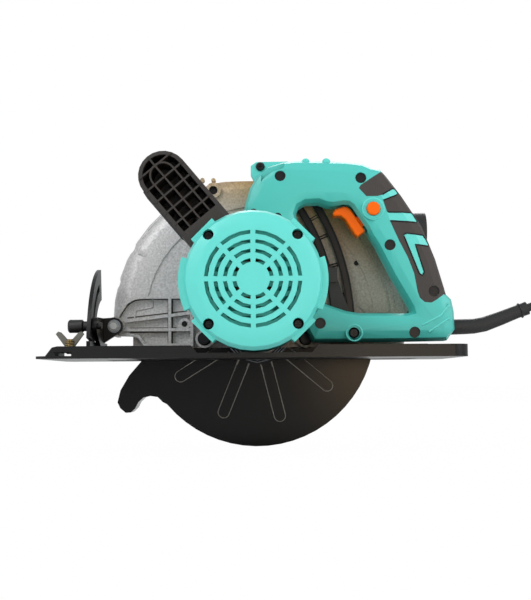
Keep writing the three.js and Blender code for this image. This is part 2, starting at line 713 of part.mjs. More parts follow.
const gripPads = () => {
  const skin = cut(common(gripRegion(), handleSolid()), handleSolid(-gripDepth + seam));
  const shaped = cut(skin, handleScrewSpots.map(([x, z]) =>
    disc(handleScrewHead + seam, -reach, handleNear + headRecess, x, z)));
  return [common(shaped, halfSpace(-reach, handleMiddle - gap / 2)),
    common(shaped, halfSpace(coverNear, reach))];
};

// Trigger, its lock button and the switch
const switchShares = [[0.645, 0.68], [0.705, 0.728], [0.777, 0.599], [0.717, 0.558]];
const switchWidth = 14;
const trigger = () => {
  const [near, far] = [handleMiddle - triggerWidth / 2, handleMiddle + triggerWidth / 2];
  return join(across(onHandle(triggerShares), near, far, overrun),
    across(onHandle(stemShares), near + buttonTravel + 2 * gap, far));
};
const lockButton = () => {
  const near = handleNear - buttonProud;
  const far = near + 3 * buttonTravel + handleWall;
  return turned([[0, near], [0.8 * buttonRadius, near], [buttonRadius, near + 0.3 * buttonProud],
    [buttonRadius, far], [0, far]],
    buttonX, buttonHeight);
};
const triggerSwitch = () => across(onHandle(switchShares), handleMiddle - switchWidth / 2,
  handleMiddle + switchWidth / 2, overrun);

// Motor end cap with its ring slots, the screen behind it and its screws
const capBossRadius = 11.7;
const capEarThickness = 7;
const capScrewReach = 14;
const motorEndCap = () => {
  const rim = housingNear - capSlope;
  const outer = turned([[0, capNear], [capFaceRadius, capNear], [0.95 * capRimRadius, (capNear + rim) / 2],
    [capRimRadius, rim + capSlope / 2],
    [capRimRadius, capFar], [0, capFar]], ...motorAxis);
  const room = turned([[0, capNear + capWall], [capFaceRadius - capWall, capNear + capWall],
    [housingBore, rim + capSlope / 2],
    [housingBore, capFar + overrun], [0, capFar + overrun]], ...motorAxis);
  const boss = disc(capBossRadius, capNear, capNear + capWall + endBearingWidth, ...motorAxis);
  const slots = count(slotRings, (k) => {
    const radius = slotOuterRadius - k * slotPitch;
    const half = THREE.MathUtils.radToDeg(slotSpoke / 2 / (radius - slotWidth / 2));
    const step = 360 / slotSpokes;
    return count(slotSpokes, (i) =>
      across(ringSector(...motorAxis, radius - slotWidth, radius, i * step + half, (i + 1) * step - half,
        k < 2 ? 3 : 2), capNear - overrun, capNear + capWall + gap));
  });
  const ears = join(ear(capFar - capEarThickness, capFar));
  const sides = join(bulges(capFar - capBulgeDepth, capFar, capBulgeRadius));
  const shell = join(cut(join(outer, ears, sides), room), boss);
  const holes = capScrewSpots.map(([x, z]) => join(disc(capScrewShank + seam, -reach, capFar + overrun, x, z),
    disc(capScrewHole, -reach, capFar - capEarThickness + earRecess, x, z)));
  return cut(shell, slots.flat(), holes, disc(endBearingRadius + seam, capNear + capWall, capFar + overrun,
    ...motorAxis));
};
const screenNear = capNear + capWall + gap;
const airScreen = () => {
  const slits = count(screenSlits, (k) => {
    const z = motorHeight + (k - (screenSlits - 1) / 2) * screenPitch;
    return block(-reach, screenNear - overrun, z - screenSlit / 2, reach, screenNear + 2 * screenThickness,
      z + screenSlit / 2);
  });
  const inner = disc(screenRadius - 1.2 * capWall, -reach, reach, ...motorAxis);
  const plate = disc(screenRadius - gap, screenNear, screenNear + screenThickness, ...motorAxis);
  return cut(plate, common(join(slits), inner), disc(capBossRadius + gap, -reach, reach, ...motorAxis));
};
const capScrews = () => capScrewSpots.map(([x, z]) =>
  crossScrew(x, z, capFar - capEarThickness + earRecess - seam, housingNear + capScrewReach - overrun,
    capScrewHole - gap, capScrewShank));

// Motor
const shaftNear = capNear + capWall + gap;
const pinionNear = gearNear - 1;
const pinionFar = pinionNear + gearWidth + 2;
const toothShares = [[-1.2, 0.22], [0.9, 0.38], [0.9, 0.62], [-1.2, 0.78]];
const toothed = (radius, teeth, near, far, startAngle) => {
  const step = 360 / teeth;
  const points = count(teeth, (i) =>
    toothShares.map(([height, share]) => polar(0, 0, radius + height * gearModule,
      startAngle + (i + share) * step)));
  return across(points.flat(), near, far);
};
const centreLine = THREE.MathUtils.radToDeg(Math.atan2(motorHeight - spindleHeight, motorX));
const armatureShaft = () => {
  const pinion = toothed((gearModule * pinionTeeth) / 2, pinionTeeth, pinionNear, pinionFar, centreLine + 180)
    .translate([motorX, 0, motorHeight]);
  return join(disc(shaftRadius, shaftNear, pinionFar, ...motorAxis), pinion);
};
const driveGear = () => {
  const gear = toothed((gearModule * gearTeeth) / 2, gearTeeth, gearNear, gearNear + gearWidth,
    centreLine - 180 / gearTeeth);
  return cut(gear.translate([0, 0, spindleHeight]),
    disc(spindleRadius + seam, -reach, reach, ...spindleAxis));
};
const bore = (radius) => disc(radius, -reach, reach, ...motorAxis);
const aboutMotor = (form, angle) => form.rotate([0, angle, 0]).translate([motorX, 0, motorHeight]);
const coreSlots = 8;
const coreSlotDepth = 6;
const coreSlotWidth = 3.4;
const windingReach = 3.6;
const windingRadius = coreRadius - 2.5;
const armatureCore = () => {
  const slot = () => block(coreRadius - coreSlotDepth, -reach, -coreSlotWidth / 2, reach, reach,
    coreSlotWidth / 2);
  const slots = count(coreSlots, (k) => aboutMotor(slot(), (360 * k) / coreSlots));
  return cut(disc(coreRadius, coreNear, coreFar, ...motorAxis), slots, bore(windingSleeve + seam));
};
const windingSleeve = 6.4;
const armatureWinding = () => {
  const heads = [coreNear - windingReach, coreFar + seam].map((near) =>
    disc(windingRadius, near, near + windingReach - seam, ...motorAxis));
  return cut(join(heads, disc(windingSleeve, coreNear - windingReach, coreFar + windingReach,
    ...motorAxis)), bore(shaftRadius + seam));
};
const commutatorBars = 12;
const commutator = () => {
  const slot = () => block(commutatorRadius - overrun, -reach, -gap, reach, reach, gap);
  const slots = count(commutatorBars, (k) => aboutMotor(slot(), (360 * k) / commutatorBars));
  return cut(disc(commutatorRadius, commutatorNear, commutatorFar, ...motorAxis), slots,
    bore(shaftRadius + seam));
};
const fanPlate = 1.6;
const fanHub = 9;
const fan = () => {
  const vane = () => block(fanHub - overrun, fanNear, -fanPlate / 2, fanRadius - overrun, fanFar - seam,
    fanPlate / 2);
  const vanes = count(fanBlades, (k) => aboutMotor(vane(), (360 * k) / fanBlades));
  return cut(join(disc(fanRadius, fanFar - fanPlate, fanFar, ...motorAxis),
    disc(fanHub, fanNear, fanFar, ...motorAxis), vanes),
    bore(shaftRadius + seam));
};
const poleAngle = 42;
const coilAngle = 62;
const poleShoe = 3;
const fieldCore = () => {
  const inner = coreRadius + 2 * gap;
  const poles = [90, 270].map((angle) => {
    const shoe = ringSector(...motorAxis, inner, inner + poleShoe, angle - poleAngle, angle + poleAngle, 6);
    const neck = ringSector(...motorAxis, inner + poleShoe / 2, fieldRadius - fieldYoke + overrun,
      angle - poleAngle / 2, angle + poleAngle / 2, 6);
    return [across(shoe, coreNear, coreFar), across(neck, coreNear, coreFar)];
  });
  return join(ring(fieldRadius - fieldYoke, fieldRadius, coreNear, coreFar, ...motorAxis), poles.flat());
};
const coilEnd = 3.5;
const fieldCoils = () => {
  const lead = ring(fieldRadius - fieldYoke - gap - coilEnd, fieldRadius - fieldYoke - gap,
    coreNear - coilEnd, coreNear - coilEnd / 2, ...motorAxis);
  return join(lead, [90, 270].map((angle) => {
    const [inner, outer] = [coreRadius + 2 * gap + poleShoe + seam, fieldRadius - fieldYoke - gap];
    const whole = across(ringSector(...motorAxis, inner, outer, angle - coilAngle, angle + coilAngle, 7),
      coreNear - coilEnd, coreFar + coilEnd);
    const neck = poleAngle / 2 + overrun;
    return cut(whole, across(ringSector(...motorAxis, inner / 2, fieldRadius, angle - neck, angle + neck,
      6), coreNear - seam, coreFar + seam));
  }));
};
const holderWall = 1.6;
const holderStart = commutatorRadius + 2;
const brushMiddle = (commutatorNear + commutatorFar) / 2;
const brushBox = (start, end, half) => block(start, brushMiddle - half, -half, end, brushMiddle + half, half);
const bothWays = (make) => [0, 180].map((angle) => aboutMotor(make(), angle));
const brushRing = () => {
  const outer = bothWays(() => brushBox(holderStart, housingBore - overrun, brushWidth / 2 + holderWall));
  const plate = ring(fieldRadius - fieldYoke, fieldRadius, brushMiddle, brushMiddle + holderWall,
    ...motorAxis);
  return cut(join(outer, plate), bothWays(() => brushBox(0, housingBore - 2 * overrun,
    brushWidth / 2 + seam)));
};
const carbonBrushes = () => bothWays(() => brushBox(commutatorRadius + gap, commutatorRadius + brushLength,
  brushWidth / 2));
const helix = (radius, wire, curls, length, steps = 8, sides = 5) => {
  const points = count(curls * steps + 1, (i) => {
    const turn = (2 * Math.PI * i) / steps;
    return new THREE.Vector3(radius * Math.cos(turn), radius * Math.sin(turn),
      (length * i) / (curls * steps));
  });
  return tube(points, points.map(() => wire / 2), sides);
};
const bearing = (inner, outer, near, width, axis) => ring(inner, outer, near, near + width, ...axis);

// Spindle and what it carries
const flangeHub = 11;
const flangeBore = spindleRadius + seam;
const retainerInner = 12;
const retainerOuter = 19;
const retainerThickness = 2.2;
const bearingNear = guardNear + seam;
const bearingFar = bearingNear + spindleBearingWidth + seam;
const flangeNear = bladeNear - flangeThickness;
const spindleShaft = () =>
  cut(disc(spindleRadius, spindleNear, bladeNear - gap, ...spindleAxis),
    disc(boltShankRadius + seam, bladeNear - 5 * flangeThickness, reach, ...spindleAxis));
const innerFlange = () => {
  const neck = 0.82 * flangeHub;
  const spigot = bladeBore / 2 - seam;
  const hole = boltShankRadius + gap;
  const profile = [[flangeBore, bearingFar], [neck, bearingFar], [neck, hubFar + overrun],
    [flangeHub, hubFar + overrun], [flangeHub, flangeNear],
    [flangeRadius, flangeNear], [flangeRadius, bladeNear - seam], [spigot, bladeNear - seam],
      [spigot, bladeFar - gap], [hole, bladeFar - gap],
    [hole, bladeNear - seam], [flangeBore, bladeNear - seam]];
  return turned(profile, ...spindleAxis);
};
const bladeToothShares = [[1, 0], [0.99, 0.2], [0.93, 0.42], [0.935, 0.7]];
const reliefSlots = 4;
const blade = () => {
  const step = 360 / bladeTeeth;
  const radius = bladeDiameter / 2;
  const teeth = count(bladeTeeth, (i) => bladeToothShares.map(([r, share]) =>
    polar(...spindleAxis, radius * r, -(i + share) * step)));
  const relief = count(reliefSlots, (k) =>
    block(radius - 3 * gulletDepth, -reach, -gap, radius - gulletDepth / 2, reach, gap)
      .rotate([0, (360 * (k + 0.08)) / reliefSlots, 0]).translate([0, 0, spindleHeight]));
  return cut(across(teeth.flat(), bladeNear, bladeFar), relief,
    disc(bladeBore / 2, -reach, reach, ...spindleAxis, sidesFor(flangeRadius)));
};
const outerFlange = () => ring(boltShankRadius + gap, flangeRadius, bladeFar + seam,
  bladeFar + flangeThickness, ...spindleAxis);
const arborBolt = () => {
  const near = bladeFar + flangeThickness + seam;
  return join(disc(1.25 * boltHeadRadius, near, near + overrun, ...spindleAxis),
    across(circle(...spindleAxis, boltHeadRadius, 6), near, near + boltHeadHeight - overrun, overrun / 2),
    disc(boltShankRadius, bladeNear - 4 * flangeThickness, near + overrun, ...spindleAxis));
};
const bearingRetainer = () => ring(retainerInner, retainerOuter, guardNear - seam - retainerThickness,
  guardNear - seam, ...spindleAxis);

// Lower guard, its retaining ring and its spring
const lowerStart = 190;
const lowerEnd = 372;
const beakShares = [[-0.985, -0.2], [-0.986, -0.28], [-1.087, -0.397], [-1.161, -0.524], [-1.185, -0.623],
  [-1.161, -0.673],
  [-1.115, -0.712], [-1.072, -0.709], [-1.034, -0.673], [-1.009, -0.623], [-0.966, -0.584],
    [-0.909, -0.571], [-0.845, -0.581],
  [-0.803, -0.623], [-0.732, -0.66], [-0.62, -0.5], [-0.8, -0.3]];
const beadAngles = [-40, -76, -112, -148];
const guardHubRadius = 28;
const ringReach = 23.5;
const beak = () => beakShares.map(([x, z]) => [x * lowerGuardRadius, spindleHeight + z * lowerGuardRadius]);
const lowerGuard = () => {
  const sector = across([[0, spindleHeight], ...arc(...spindleAxis, lowerGuardRadius, lowerStart, lowerEnd,
    30)], lowerGuardNear, lowerGuardFar);
  const [near, far] = [lowerGuardNear + lowerGuardWall, lowerGuardFar - lowerGuardWall];
  const outer = join(sector, across(beak(), lowerGuardNear, lowerGuardFar),
    disc(guardHubRadius, lowerGuardNear, near, ...spindleAxis));
  const inner = join(disc(lowerGuardRadius - lowerGuardWall, near, far, ...spindleAxis),
    across(inset(beak(), lowerGuardWall), near, far));
  const open = disc(lowerGuardOpenRadius, near, lowerGuardFar + overrun, ...spindleAxis);
  const beads = beadAngles.map((angle) => {
    const bead = block(beadStart + beadWidth / 2, lowerGuardNear - beadProud, -beadWidth / 2, beadEnd,
      lowerGuardNear + seam, beadWidth / 2);
    const end = disc(beadWidth / 2, lowerGuardNear - beadProud, lowerGuardNear + seam, beadEnd, 0);
    return join(bead, end).rotate([0, -angle, 0]).translate([0, 0, spindleHeight]);
  });
  return cut(join(cut(outer, inner, open), beads),
    disc(hubRadius + gap, -reach, near + overrun, ...spindleAxis));
};
const retainingRing = () => ring(spigotRadius + seam, ringReach, spigotNear + seam, hubFar - gap,
  ...spindleAxis);
const guardSpring = () => {
  const start = hubRadius + 2 * returnSpringWire;
  const steps = 12;
  const y = guardNear + guardWall + gap + returnSpringWire / 2;
  const points = count(returnSpringTurns * steps + 1, (i) => {
    const turn = (2 * Math.PI * i) / steps;
    const radius = start + (1.6 * returnSpringWire * i) / steps;
    return new THREE.Vector3(radius * Math.cos(turn), y, spindleHeight + radius * Math.sin(turn));
  });
  return tube(points, points.map(() => returnSpringWire / 2), 5);
};

// Bracket, arc and pins of the bevel frame
const bracketEarX = quadrantX + quadrantThickness + gap;
const bracketNear = -8;
const earNear = bracketNear + bracketThickness;
const bracketLow = bevelHeight - bevelEarRadius;
const bracketRound = 7;
const crossTop = 14;
const nutRadius = 5.2;
const nutThickness = 4.6;
const knobBoltRadius = 2.6;
const knobPlace = polar(bevelSide, bevelHeight, quadrantRadius, knobAngle);
const alongBevel = (radius, left, right) => lengthwise(circle(bevelSide, bevelHeight, radius), left, right);
const alongKnob = (radius, left, right) => lengthwise(circle(...knobPlace, radius), left, right);
const pivotBracket = () => {
  const right = bracketEarX + bracketThickness;
  const nearEar = hull(disc(bracketRound, earNear, -gap, pivotX, pivotHeight),
    block(bracketEarX, earNear, crossTop, right, -gap, bracketTop));
  const cross = block(bracketEarX, bracketNear, bracketLow, right, bevelSide, crossTop);
  const strip = hull(block(bracketEarX, bracketNear, bracketLow + bracketThickness, right, -gap,
    bracketTop), alongKnob(bracketRound, bracketEarX, right));
  return cut(join(nearEar, cross, alongBevel(bevelEarRadius, bracketEarX,
    bracketEarX + bracketEarThickness), strip),
    disc(pivotPinRadius + seam, -reach, reach, pivotX, pivotHeight),
      alongBevel(bevelPinRadius + seam, -reach, reach),
    alongKnob(knobBoltRadius + seam, -reach, reach));
};
const pivotBolt = () =>
  join(disc(pivotPinRadius, earNear - nutThickness - overrun, guardNear + 2 * guardWall, pivotX, pivotHeight),
    across(circle(pivotX, pivotHeight, nutRadius, 6), earNear - nutThickness, earNear - seam));
const arcFootTop = 12;
const arcFootLow = 2.5;
const slotMargin = 1.6;
const depthTravel = 35;
const depthArc = () => {
  const [inner, outer] = [arcRadius - arcWidth / 2, arcRadius + arcWidth / 2];
  const band = ringSector(pivotX, pivotHeight, inner, outer, arcLowAngle, arcHighAngle, 28);
  const slot = ringSector(pivotX, pivotHeight, arcRadius - arcSlot / 2, arcRadius + arcSlot / 2,
    depthBoltAngle - slotMargin, depthBoltAngle + depthTravel + slotMargin, 24);
  const right = rearHingeX + rearHingeLength;
  const foot = block(inner + pivotX, arcNear, arcFootLow, right, arcNear + arcThickness, arcFootTop);
  const web = block(rearHingeX, arcNear, arcFootLow, right, bevelSide, bevelHeight + bevelEarRadius);
  return cut(join(across(band, arcNear, arcNear + arcThickness), foot, web,
    alongBevel(bevelEarRadius, rearHingeX, right)),
    across(slot, -reach, reach), block(-reach, -reach, -reach, rearHingeX, reach, arcFootLow),
      alongBevel(bevelPinRadius + seam, -reach, reach));
};
const bevelPin = (left, right) => join(alongBevel(bevelPinRadius, left, right),
  alongBevel(1.6 * bevelPinRadius, left - overrun, left));
const leverNear = handleFar + gap;
const boltFar = guardNear + guardWall + 2 * overrun;
const depthBolt = () => join(disc(depthBoltRadius, leverNear, boltFar, depthBoltX, depthBoltHeight),
  disc(2 * depthBoltRadius, guardNear + guardWall + seam, boltFar, depthBoltX, depthBoltHeight));
const leverAngle = 103;
const leverWidth = 7;
const depthLever = () => {
  const [tipX, tipZ] = polar(depthBoltX, depthBoltHeight, leverReach, leverAngle);
  const far = arcNear - gap;
  const arm = hull(disc(leverHubRadius, leverNear, far, depthBoltX, depthBoltHeight),
    disc(leverWidth / 2, leverNear, far, tipX, tipZ));
  const tip = block(tipX - leverTip / 2, leverNear - leverTip / 2, tipZ - leverTip / 2, tipX + leverTip / 2,
    far, tipZ + leverTip);
  return cut(join(arm, tip), disc(depthBoltRadius + seam, -reach, reach, depthBoltX, depthBoltHeight));
};

// Bevel knob
const knobNeck = 4;
const knobNear = quadrantX - gap - knobNeck;
const bevelKnob = () =>
  join(lengthwise(circle(...knobPlace, knobRadius), knobNear - knobLength, knobNear, overrun),
    alongKnob(0.75 * knobRadius, knobNear - seam, quadrantX - gap),
      alongKnob(knobBoltRadius, knobNear - seam, bracketEarX + 2 * bracketThickness));

// Shoe: the plate, the quadrant, the rear hinge ear and the clamp for a fence
const cornerRadius = 12;
const barHalf = 6.3;
const barHeight = 5;
const archTop = shoeThickness + barHeight;
const shoePlate = () => {
  const rearCorner = (y, from) => arc(shoeRear - cornerRadius, y, cornerRadius, from, from + 90, 6);
  const front = shoeFront + noseLength / 2;
  const rear = shoeRear - cornerRadius;
  const plate = upward([[shoeFront, shoeNear + noseLength / 2], [front, shoeNear],
    ...rearCorner(shoeNear + cornerRadius, -90),
    ...rearCorner(shoeFar - cornerRadius, 0), [front, shoeFar], [shoeFront, shoeFar - noseLength / 2]],
    0, shoeThickness, 0, [rectangle(slotFront, slotNear, slotRear, slotFar)]);
  const nearLip = across([[front, 0], [shoeFront + noseLength, 0.9 * lipHeight],
    [shoeFront + 1.3 * noseLength, lipHeight],
    [lipNotchFront - lipHeight / 2, lipHeight], [lipNotchFront, lipNotchHeight],
      [lipNotchRear, lipNotchHeight],
    [lipNotchRear + lipHeight / 2, lipHeight], [rear, lipHeight], [rear, 0]], shoeNear,
      shoeNear + lipThickness);
  const farLip = block(shoeFront + noseLength, shoeFar - lipThickness, 0, rear, shoeFar, farLipHeight);
  const bump = ringSector(rear, shoeNear + cornerRadius, cornerRadius - lipThickness, cornerRadius, -90, -5,
    6);
  const half = fenceArchRadius + fenceArchWall;
  const archOutline = [[-half, 0], [-half, archTop - fenceArchWall], [-0.7 * half, archTop],
    [0.7 * half, archTop], [half, archTop - fenceArchWall], [half, 0]];
  const arch = across(archOutline.map(([x, z]) => [fenceX + x, z]), fenceSide - fenceArchLength / 2,
    fenceSide + fenceArchLength / 2);
  const barRoom = block(fenceX - barHalf, -reach, shoeThickness, fenceX + barHalf, reach,
    archTop - fenceArchWall);
  const earLeft = rearHingeX + rearHingeLength + gap;
  const rearEar = hull(alongBevel(bevelEarRadius, earLeft, earLeft + rearHingeLength),
    block(earLeft, bevelSide - bevelEarRadius - overrun, overrun, earLeft + rearHingeLength,
      bevelSide + bevelEarRadius + overrun, shoeThickness));
  return cut(join(plate, nearLip, farLip, upward(bump, 0, lipHeight), arch, rearEar), barRoom,
    upward(circle(fenceX, fenceSide, fenceScrewRadius + seam), archTop - 2 * fenceArchWall, reach),
    alongBevel(bevelPinRadius + gap, rearHingeX, reach));
};
const quadrantStart = 100;
const quadrantEnd = 172;
const quadrantClear = 9;
const quadrantFootWidth = 5;
const quadrantLow = shoeThickness + gap / 2;
const bevelQuadrant = () => {
  const [inner, outer] = [quadrantRadius - quadrantBand, quadrantRadius + quadrantBand];
  const [left, right] = [quadrantX, quadrantX + quadrantThickness];
  const slotEnds = [knobAngle - 45 - 4, knobAngle + 4];
  const band = ringSector(bevelSide, bevelHeight, inner, outer, quadrantStart, quadrantEnd, 20);
  const slot = ringSector(bevelSide, bevelHeight, quadrantRadius - quadrantSlot / 2,
    quadrantRadius + quadrantSlot / 2, ...slotEnds, 16);
  const base = block(left, bevelSide - outer + overrun, quadrantLow, right, bevelSide, 3 * bevelEarRadius);
  const foot = block(left - quadrantFootWidth, fenceSide + fenceArchLength / 2 + gap, quadrantLow, right,
    bevelSide - bevelEarRadius, quadrantLow + overrun);
  const plate = common(cut(join(lengthwise(band, left, right), base), lengthwise(slot, -reach, reach)),
    join(block(-reach, -reach, quadrantLow, reach, quadrantClear, reach),
      block(-reach, -reach, quadrantLow, reach, bevelSide, bevelHeight)));
  return cut(join(plate, alongBevel(bevelEarRadius - seam, left, right), foot),
    alongBevel(bevelPinRadius + gap, -reach, reach));
};
const fenceScrewLow = 4;
const fenceCollar = 15;
const fenceScrew = () => {
  const axisAt = (radius, low, high, sides) => upward(circle(fenceX, fenceSide, radius, sides), low, high);
  const half = fenceWingSpan / 2;
  const wing = () => across([[0, fenceCollar], [half, fenceCollar + overrun], [half, fenceScrewTop],
    [0.7 * half, fenceScrewTop], [0, fenceCollar + fenceScrewRadius]],
    fenceSide - overrun, fenceSide + overrun);
  return join(axisAt(fenceScrewRadius, fenceScrewLow, fenceCollar + overrun, 14),
    axisAt(1.7 * fenceScrewRadius, fenceCollar, fenceScrewTop - overrun, 18),
    wing().translate([fenceX, 0, 0]), wing().mirror([1, 0, 0]).translate([fenceX, 0, 0]));
};
const fenceSpring = () => {
  const low = archTop + fenceSpringWire;
  return helix(fenceSpringRadius - fenceSpringWire / 2, fenceSpringWire, fenceSpringCurls,
    fenceCollar - low - fenceSpringWire)
    .translate([fenceX, fenceSide, low]);
};

// Front handle, set on the motor housing
const frontPocketStart = 60;
const onFrontHandle = (form) => aboutMotor(form, -frontHandleAngle);
const frontHandle = () => {
  const half = frontHandleWidth / 2;
  const end = frontHandleReach - half;
  const capsule = (margin, start) => [[start, -half + margin], ...arc(end, 0, half - margin, -90, 90, 12),
    [start, half - margin]];
  const outer = across(capsule(0, 0), frontHandleNear, frontHandleFar, frontHandleEdge / 2);
  const pocketFar = frontHandleFar - frontHandleFloor;
  const pocket = across(capsule(frontHandleRim, frontPocketStart), frontHandleNear - overrun, pocketFar);
  const [ribNear, ribFar] = [frontHandleNear + overrun, pocketFar + overrun];
  const middle = block(frontPocketStart - overrun, ribNear, -frontHandleRib / 2, frontHandleReach, ribFar,
    frontHandleRib / 2);
  const loop = cut(across(capsule(frontHandleLoop, frontPocketStart - overrun), ribNear, ribFar),
    across(capsule(frontHandleLoop + frontHandleRib, 0), -reach, reach));
  const crossed = count(5, (k) => {
    const x = frontPocketStart + (k + 0.8) * frontHandleRibPitch;
    return block(x - frontHandleRib / 2, frontHandleNear + overrun, -half, x + frontHandleRib / 2,
      pocketFar + overrun, half);
  });
  const ribs = common(join(middle, loop, crossed), across(capsule(overrun, 0), -reach, reach));
  const screwRoom = join(lengthwise(circle(...frontScrewPlace, frontScrewHead + gap), frontPocketStart,
    frontPocketStart + frontScrewHead),
    lengthwise(circle(...frontScrewPlace, frontScrewShank + seam), 0, frontPocketStart + overrun));
  return cut(onFrontHandle(cut(join(cut(outer, pocket), ribs), screwRoom)),
    disc(housingRadius + gap, -reach, reach, ...motorAxis),
    join(ear(housingNear - overrun, housingNear + earLength + gap, earHalfWidth + gap)));
};
const frontScrew = () => {
  const head = lengthwise(circle(...frontScrewPlace, frontScrewHead), frontPocketStart + seam,
    frontPocketStart + frontScrewHead - overrun, overrun / 2);
  const shank = lengthwise(circle(...frontScrewPlace, frontScrewShank), housingBore + overrun,
    frontPocketStart + overrun);
  return onFrontHandle(join(head, shank));
};

// Cord boot, cord, its coil on the floor and the plug
const bootShares = [[-0.045, 0], [0.01, 0], [0.055, 0.001], [0.1, 0.003], [0.15, 0.013], [0.23, 0.045],
  [0.31, 0.08], [0.36, 0.1]];
const bootRadiusShares = [1, 0.97, 0.96, 0.94, 0.94, 0.88, 0.82, 0.85];
const bootPoints = () => bootShares.map(([x, z]) =>
  new THREE.Vector3(handleFront + (1 + x) * handleLength, handleMiddle, bootHeight + z * handleHeight));
const cordRadius = cordDiameter / 2;
const cordBoot = () => {
  const points = bootPoints();
  const [first, last] = [points[0], points.at(-1)];
  const collar = lengthwise(circle(handleMiddle, bootHeight, bootRadius + seam), first.x - handleWall,
    first.x + gap);
  const through = [first.clone().setX(first.x - 2 * handleWall), ...points,
    last.clone().add(new THREE.Vector3(handleWall, 0, handleWall / 3))];
  return cut(join(tube(points, bootRadiusShares.map((share) => share * bootRadius), 14), collar),
    tube(through, through.map(() => cordRadius + gap), 10));
};
const floorCord = floorHeight + cordRadius;
const fallRadius = 32.5;
const coilY = handleMiddle + coilOuterRadius;
const cordRun = () => {
  const points = bootPoints().slice(3);
  const last = points.at(-1);
  const over = [1, 2].map((k) => last.clone().add(new THREE.Vector3(k * cordDiameter, 0, cordDiameter / 3)));
  const fall = count(6, (i) => {
    const turn = (Math.PI * (i + 1)) / 12;
    return new THREE.Vector3(over[1].x + fallRadius * Math.sin(turn), handleMiddle,
      over[1].z - fallRadius * (1 - Math.cos(turn)));
  });
  const landing = count(7, (i) => {
    const turn = (Math.PI * (6 - i)) / 12;
    return new THREE.Vector3(coilX - cordDiameter - fallRadius * Math.sin(turn), handleMiddle,
      floorCord + fallRadius * (1 - Math.cos(turn)));
  });
  return new THREE.CatmullRomCurve3([...points, ...over, ...fall, ...landing], false, 'centripetal');
};
const powerCord = () => {
  const points = cordRun().getSpacedPoints(30);
  return tube(points, points.map(() => cordRadius), 8);
};
const coilSteps = 20;
const tailLength = 6.4 * cordDiameter;
const coilPath = () => {
  const points = count(Math.round(coilTurns * coilSteps) + 1, (i) => {
    const turns = i / coilSteps;
    const radius = coilOuterRadius - coilPitch * Math.min(turns, coilTurns - turns);
    const climb = 2 * THREE.MathUtils.clamp(turns - coilTurns / 2 + 0.25, 0, 0.5);
    const angle = 2 * Math.PI * (turns - 0.25);
    return new THREE.Vector3(coilX + radius * Math.cos(angle), coilY + radius * Math.sin(angle),
      floorCord + coilPitch * climb);
  });
  const start = points[0].clone().setX(coilX - cordDiameter + gap);
  return [start, ...points, points.at(-1).clone().add(new THREE.Vector3(0, tailLength, 0))];
};
const leastCoilGap = () => {
  const points = coilPath();
  const apart = Math.ceil(coilSteps / 3);
  const gaps = points.flatMap((point, i) => points.slice(i + apart).map((other) =>
    point.distanceTo(other) - cordDiameter));
  return Math.min(...gaps);
};
const cordCoil = () => {
  const points = coilPath();
  return tube(points, points.map(() => cordRadius), 6);
};
const plugShares = [[0, 0.5], [0.25, 0.62], [0.4, 1], [0.9, 1], [1, 0.94]];
const plugThickness = 0.66;
const plug = () => {
  const end = coilPath().at(-1);
  const rings = plugShares.map(([y, width]) => circle(0, 0, (plugWidth / 2) * width).map(([x, z]) =>
    [end.x + x, end.y + seam + y * plugLength, end.z + z * plugThickness]));
  const shells = rings.slice(1).map((after, k) => wasm.Manifold.hull([...rings[k], ...after]));
  const pins = [-1, 1].map((side) => disc(pinRadius, end.y + plugLength - overrun,
    end.y + plugLength + pinLength, end.x + (side * pinSpacing) / 2, end.z));
  return join(shells, pins);
};
console.log(`least gap in the coil ${leastCoilGap().toFixed(2)} mm, free cord ${cordRun().getLength().toFixed(0)} mm, `
  + `coil ${new THREE.CatmullRomCurve3(coilPath()).getLength().toFixed(0)} mm`);

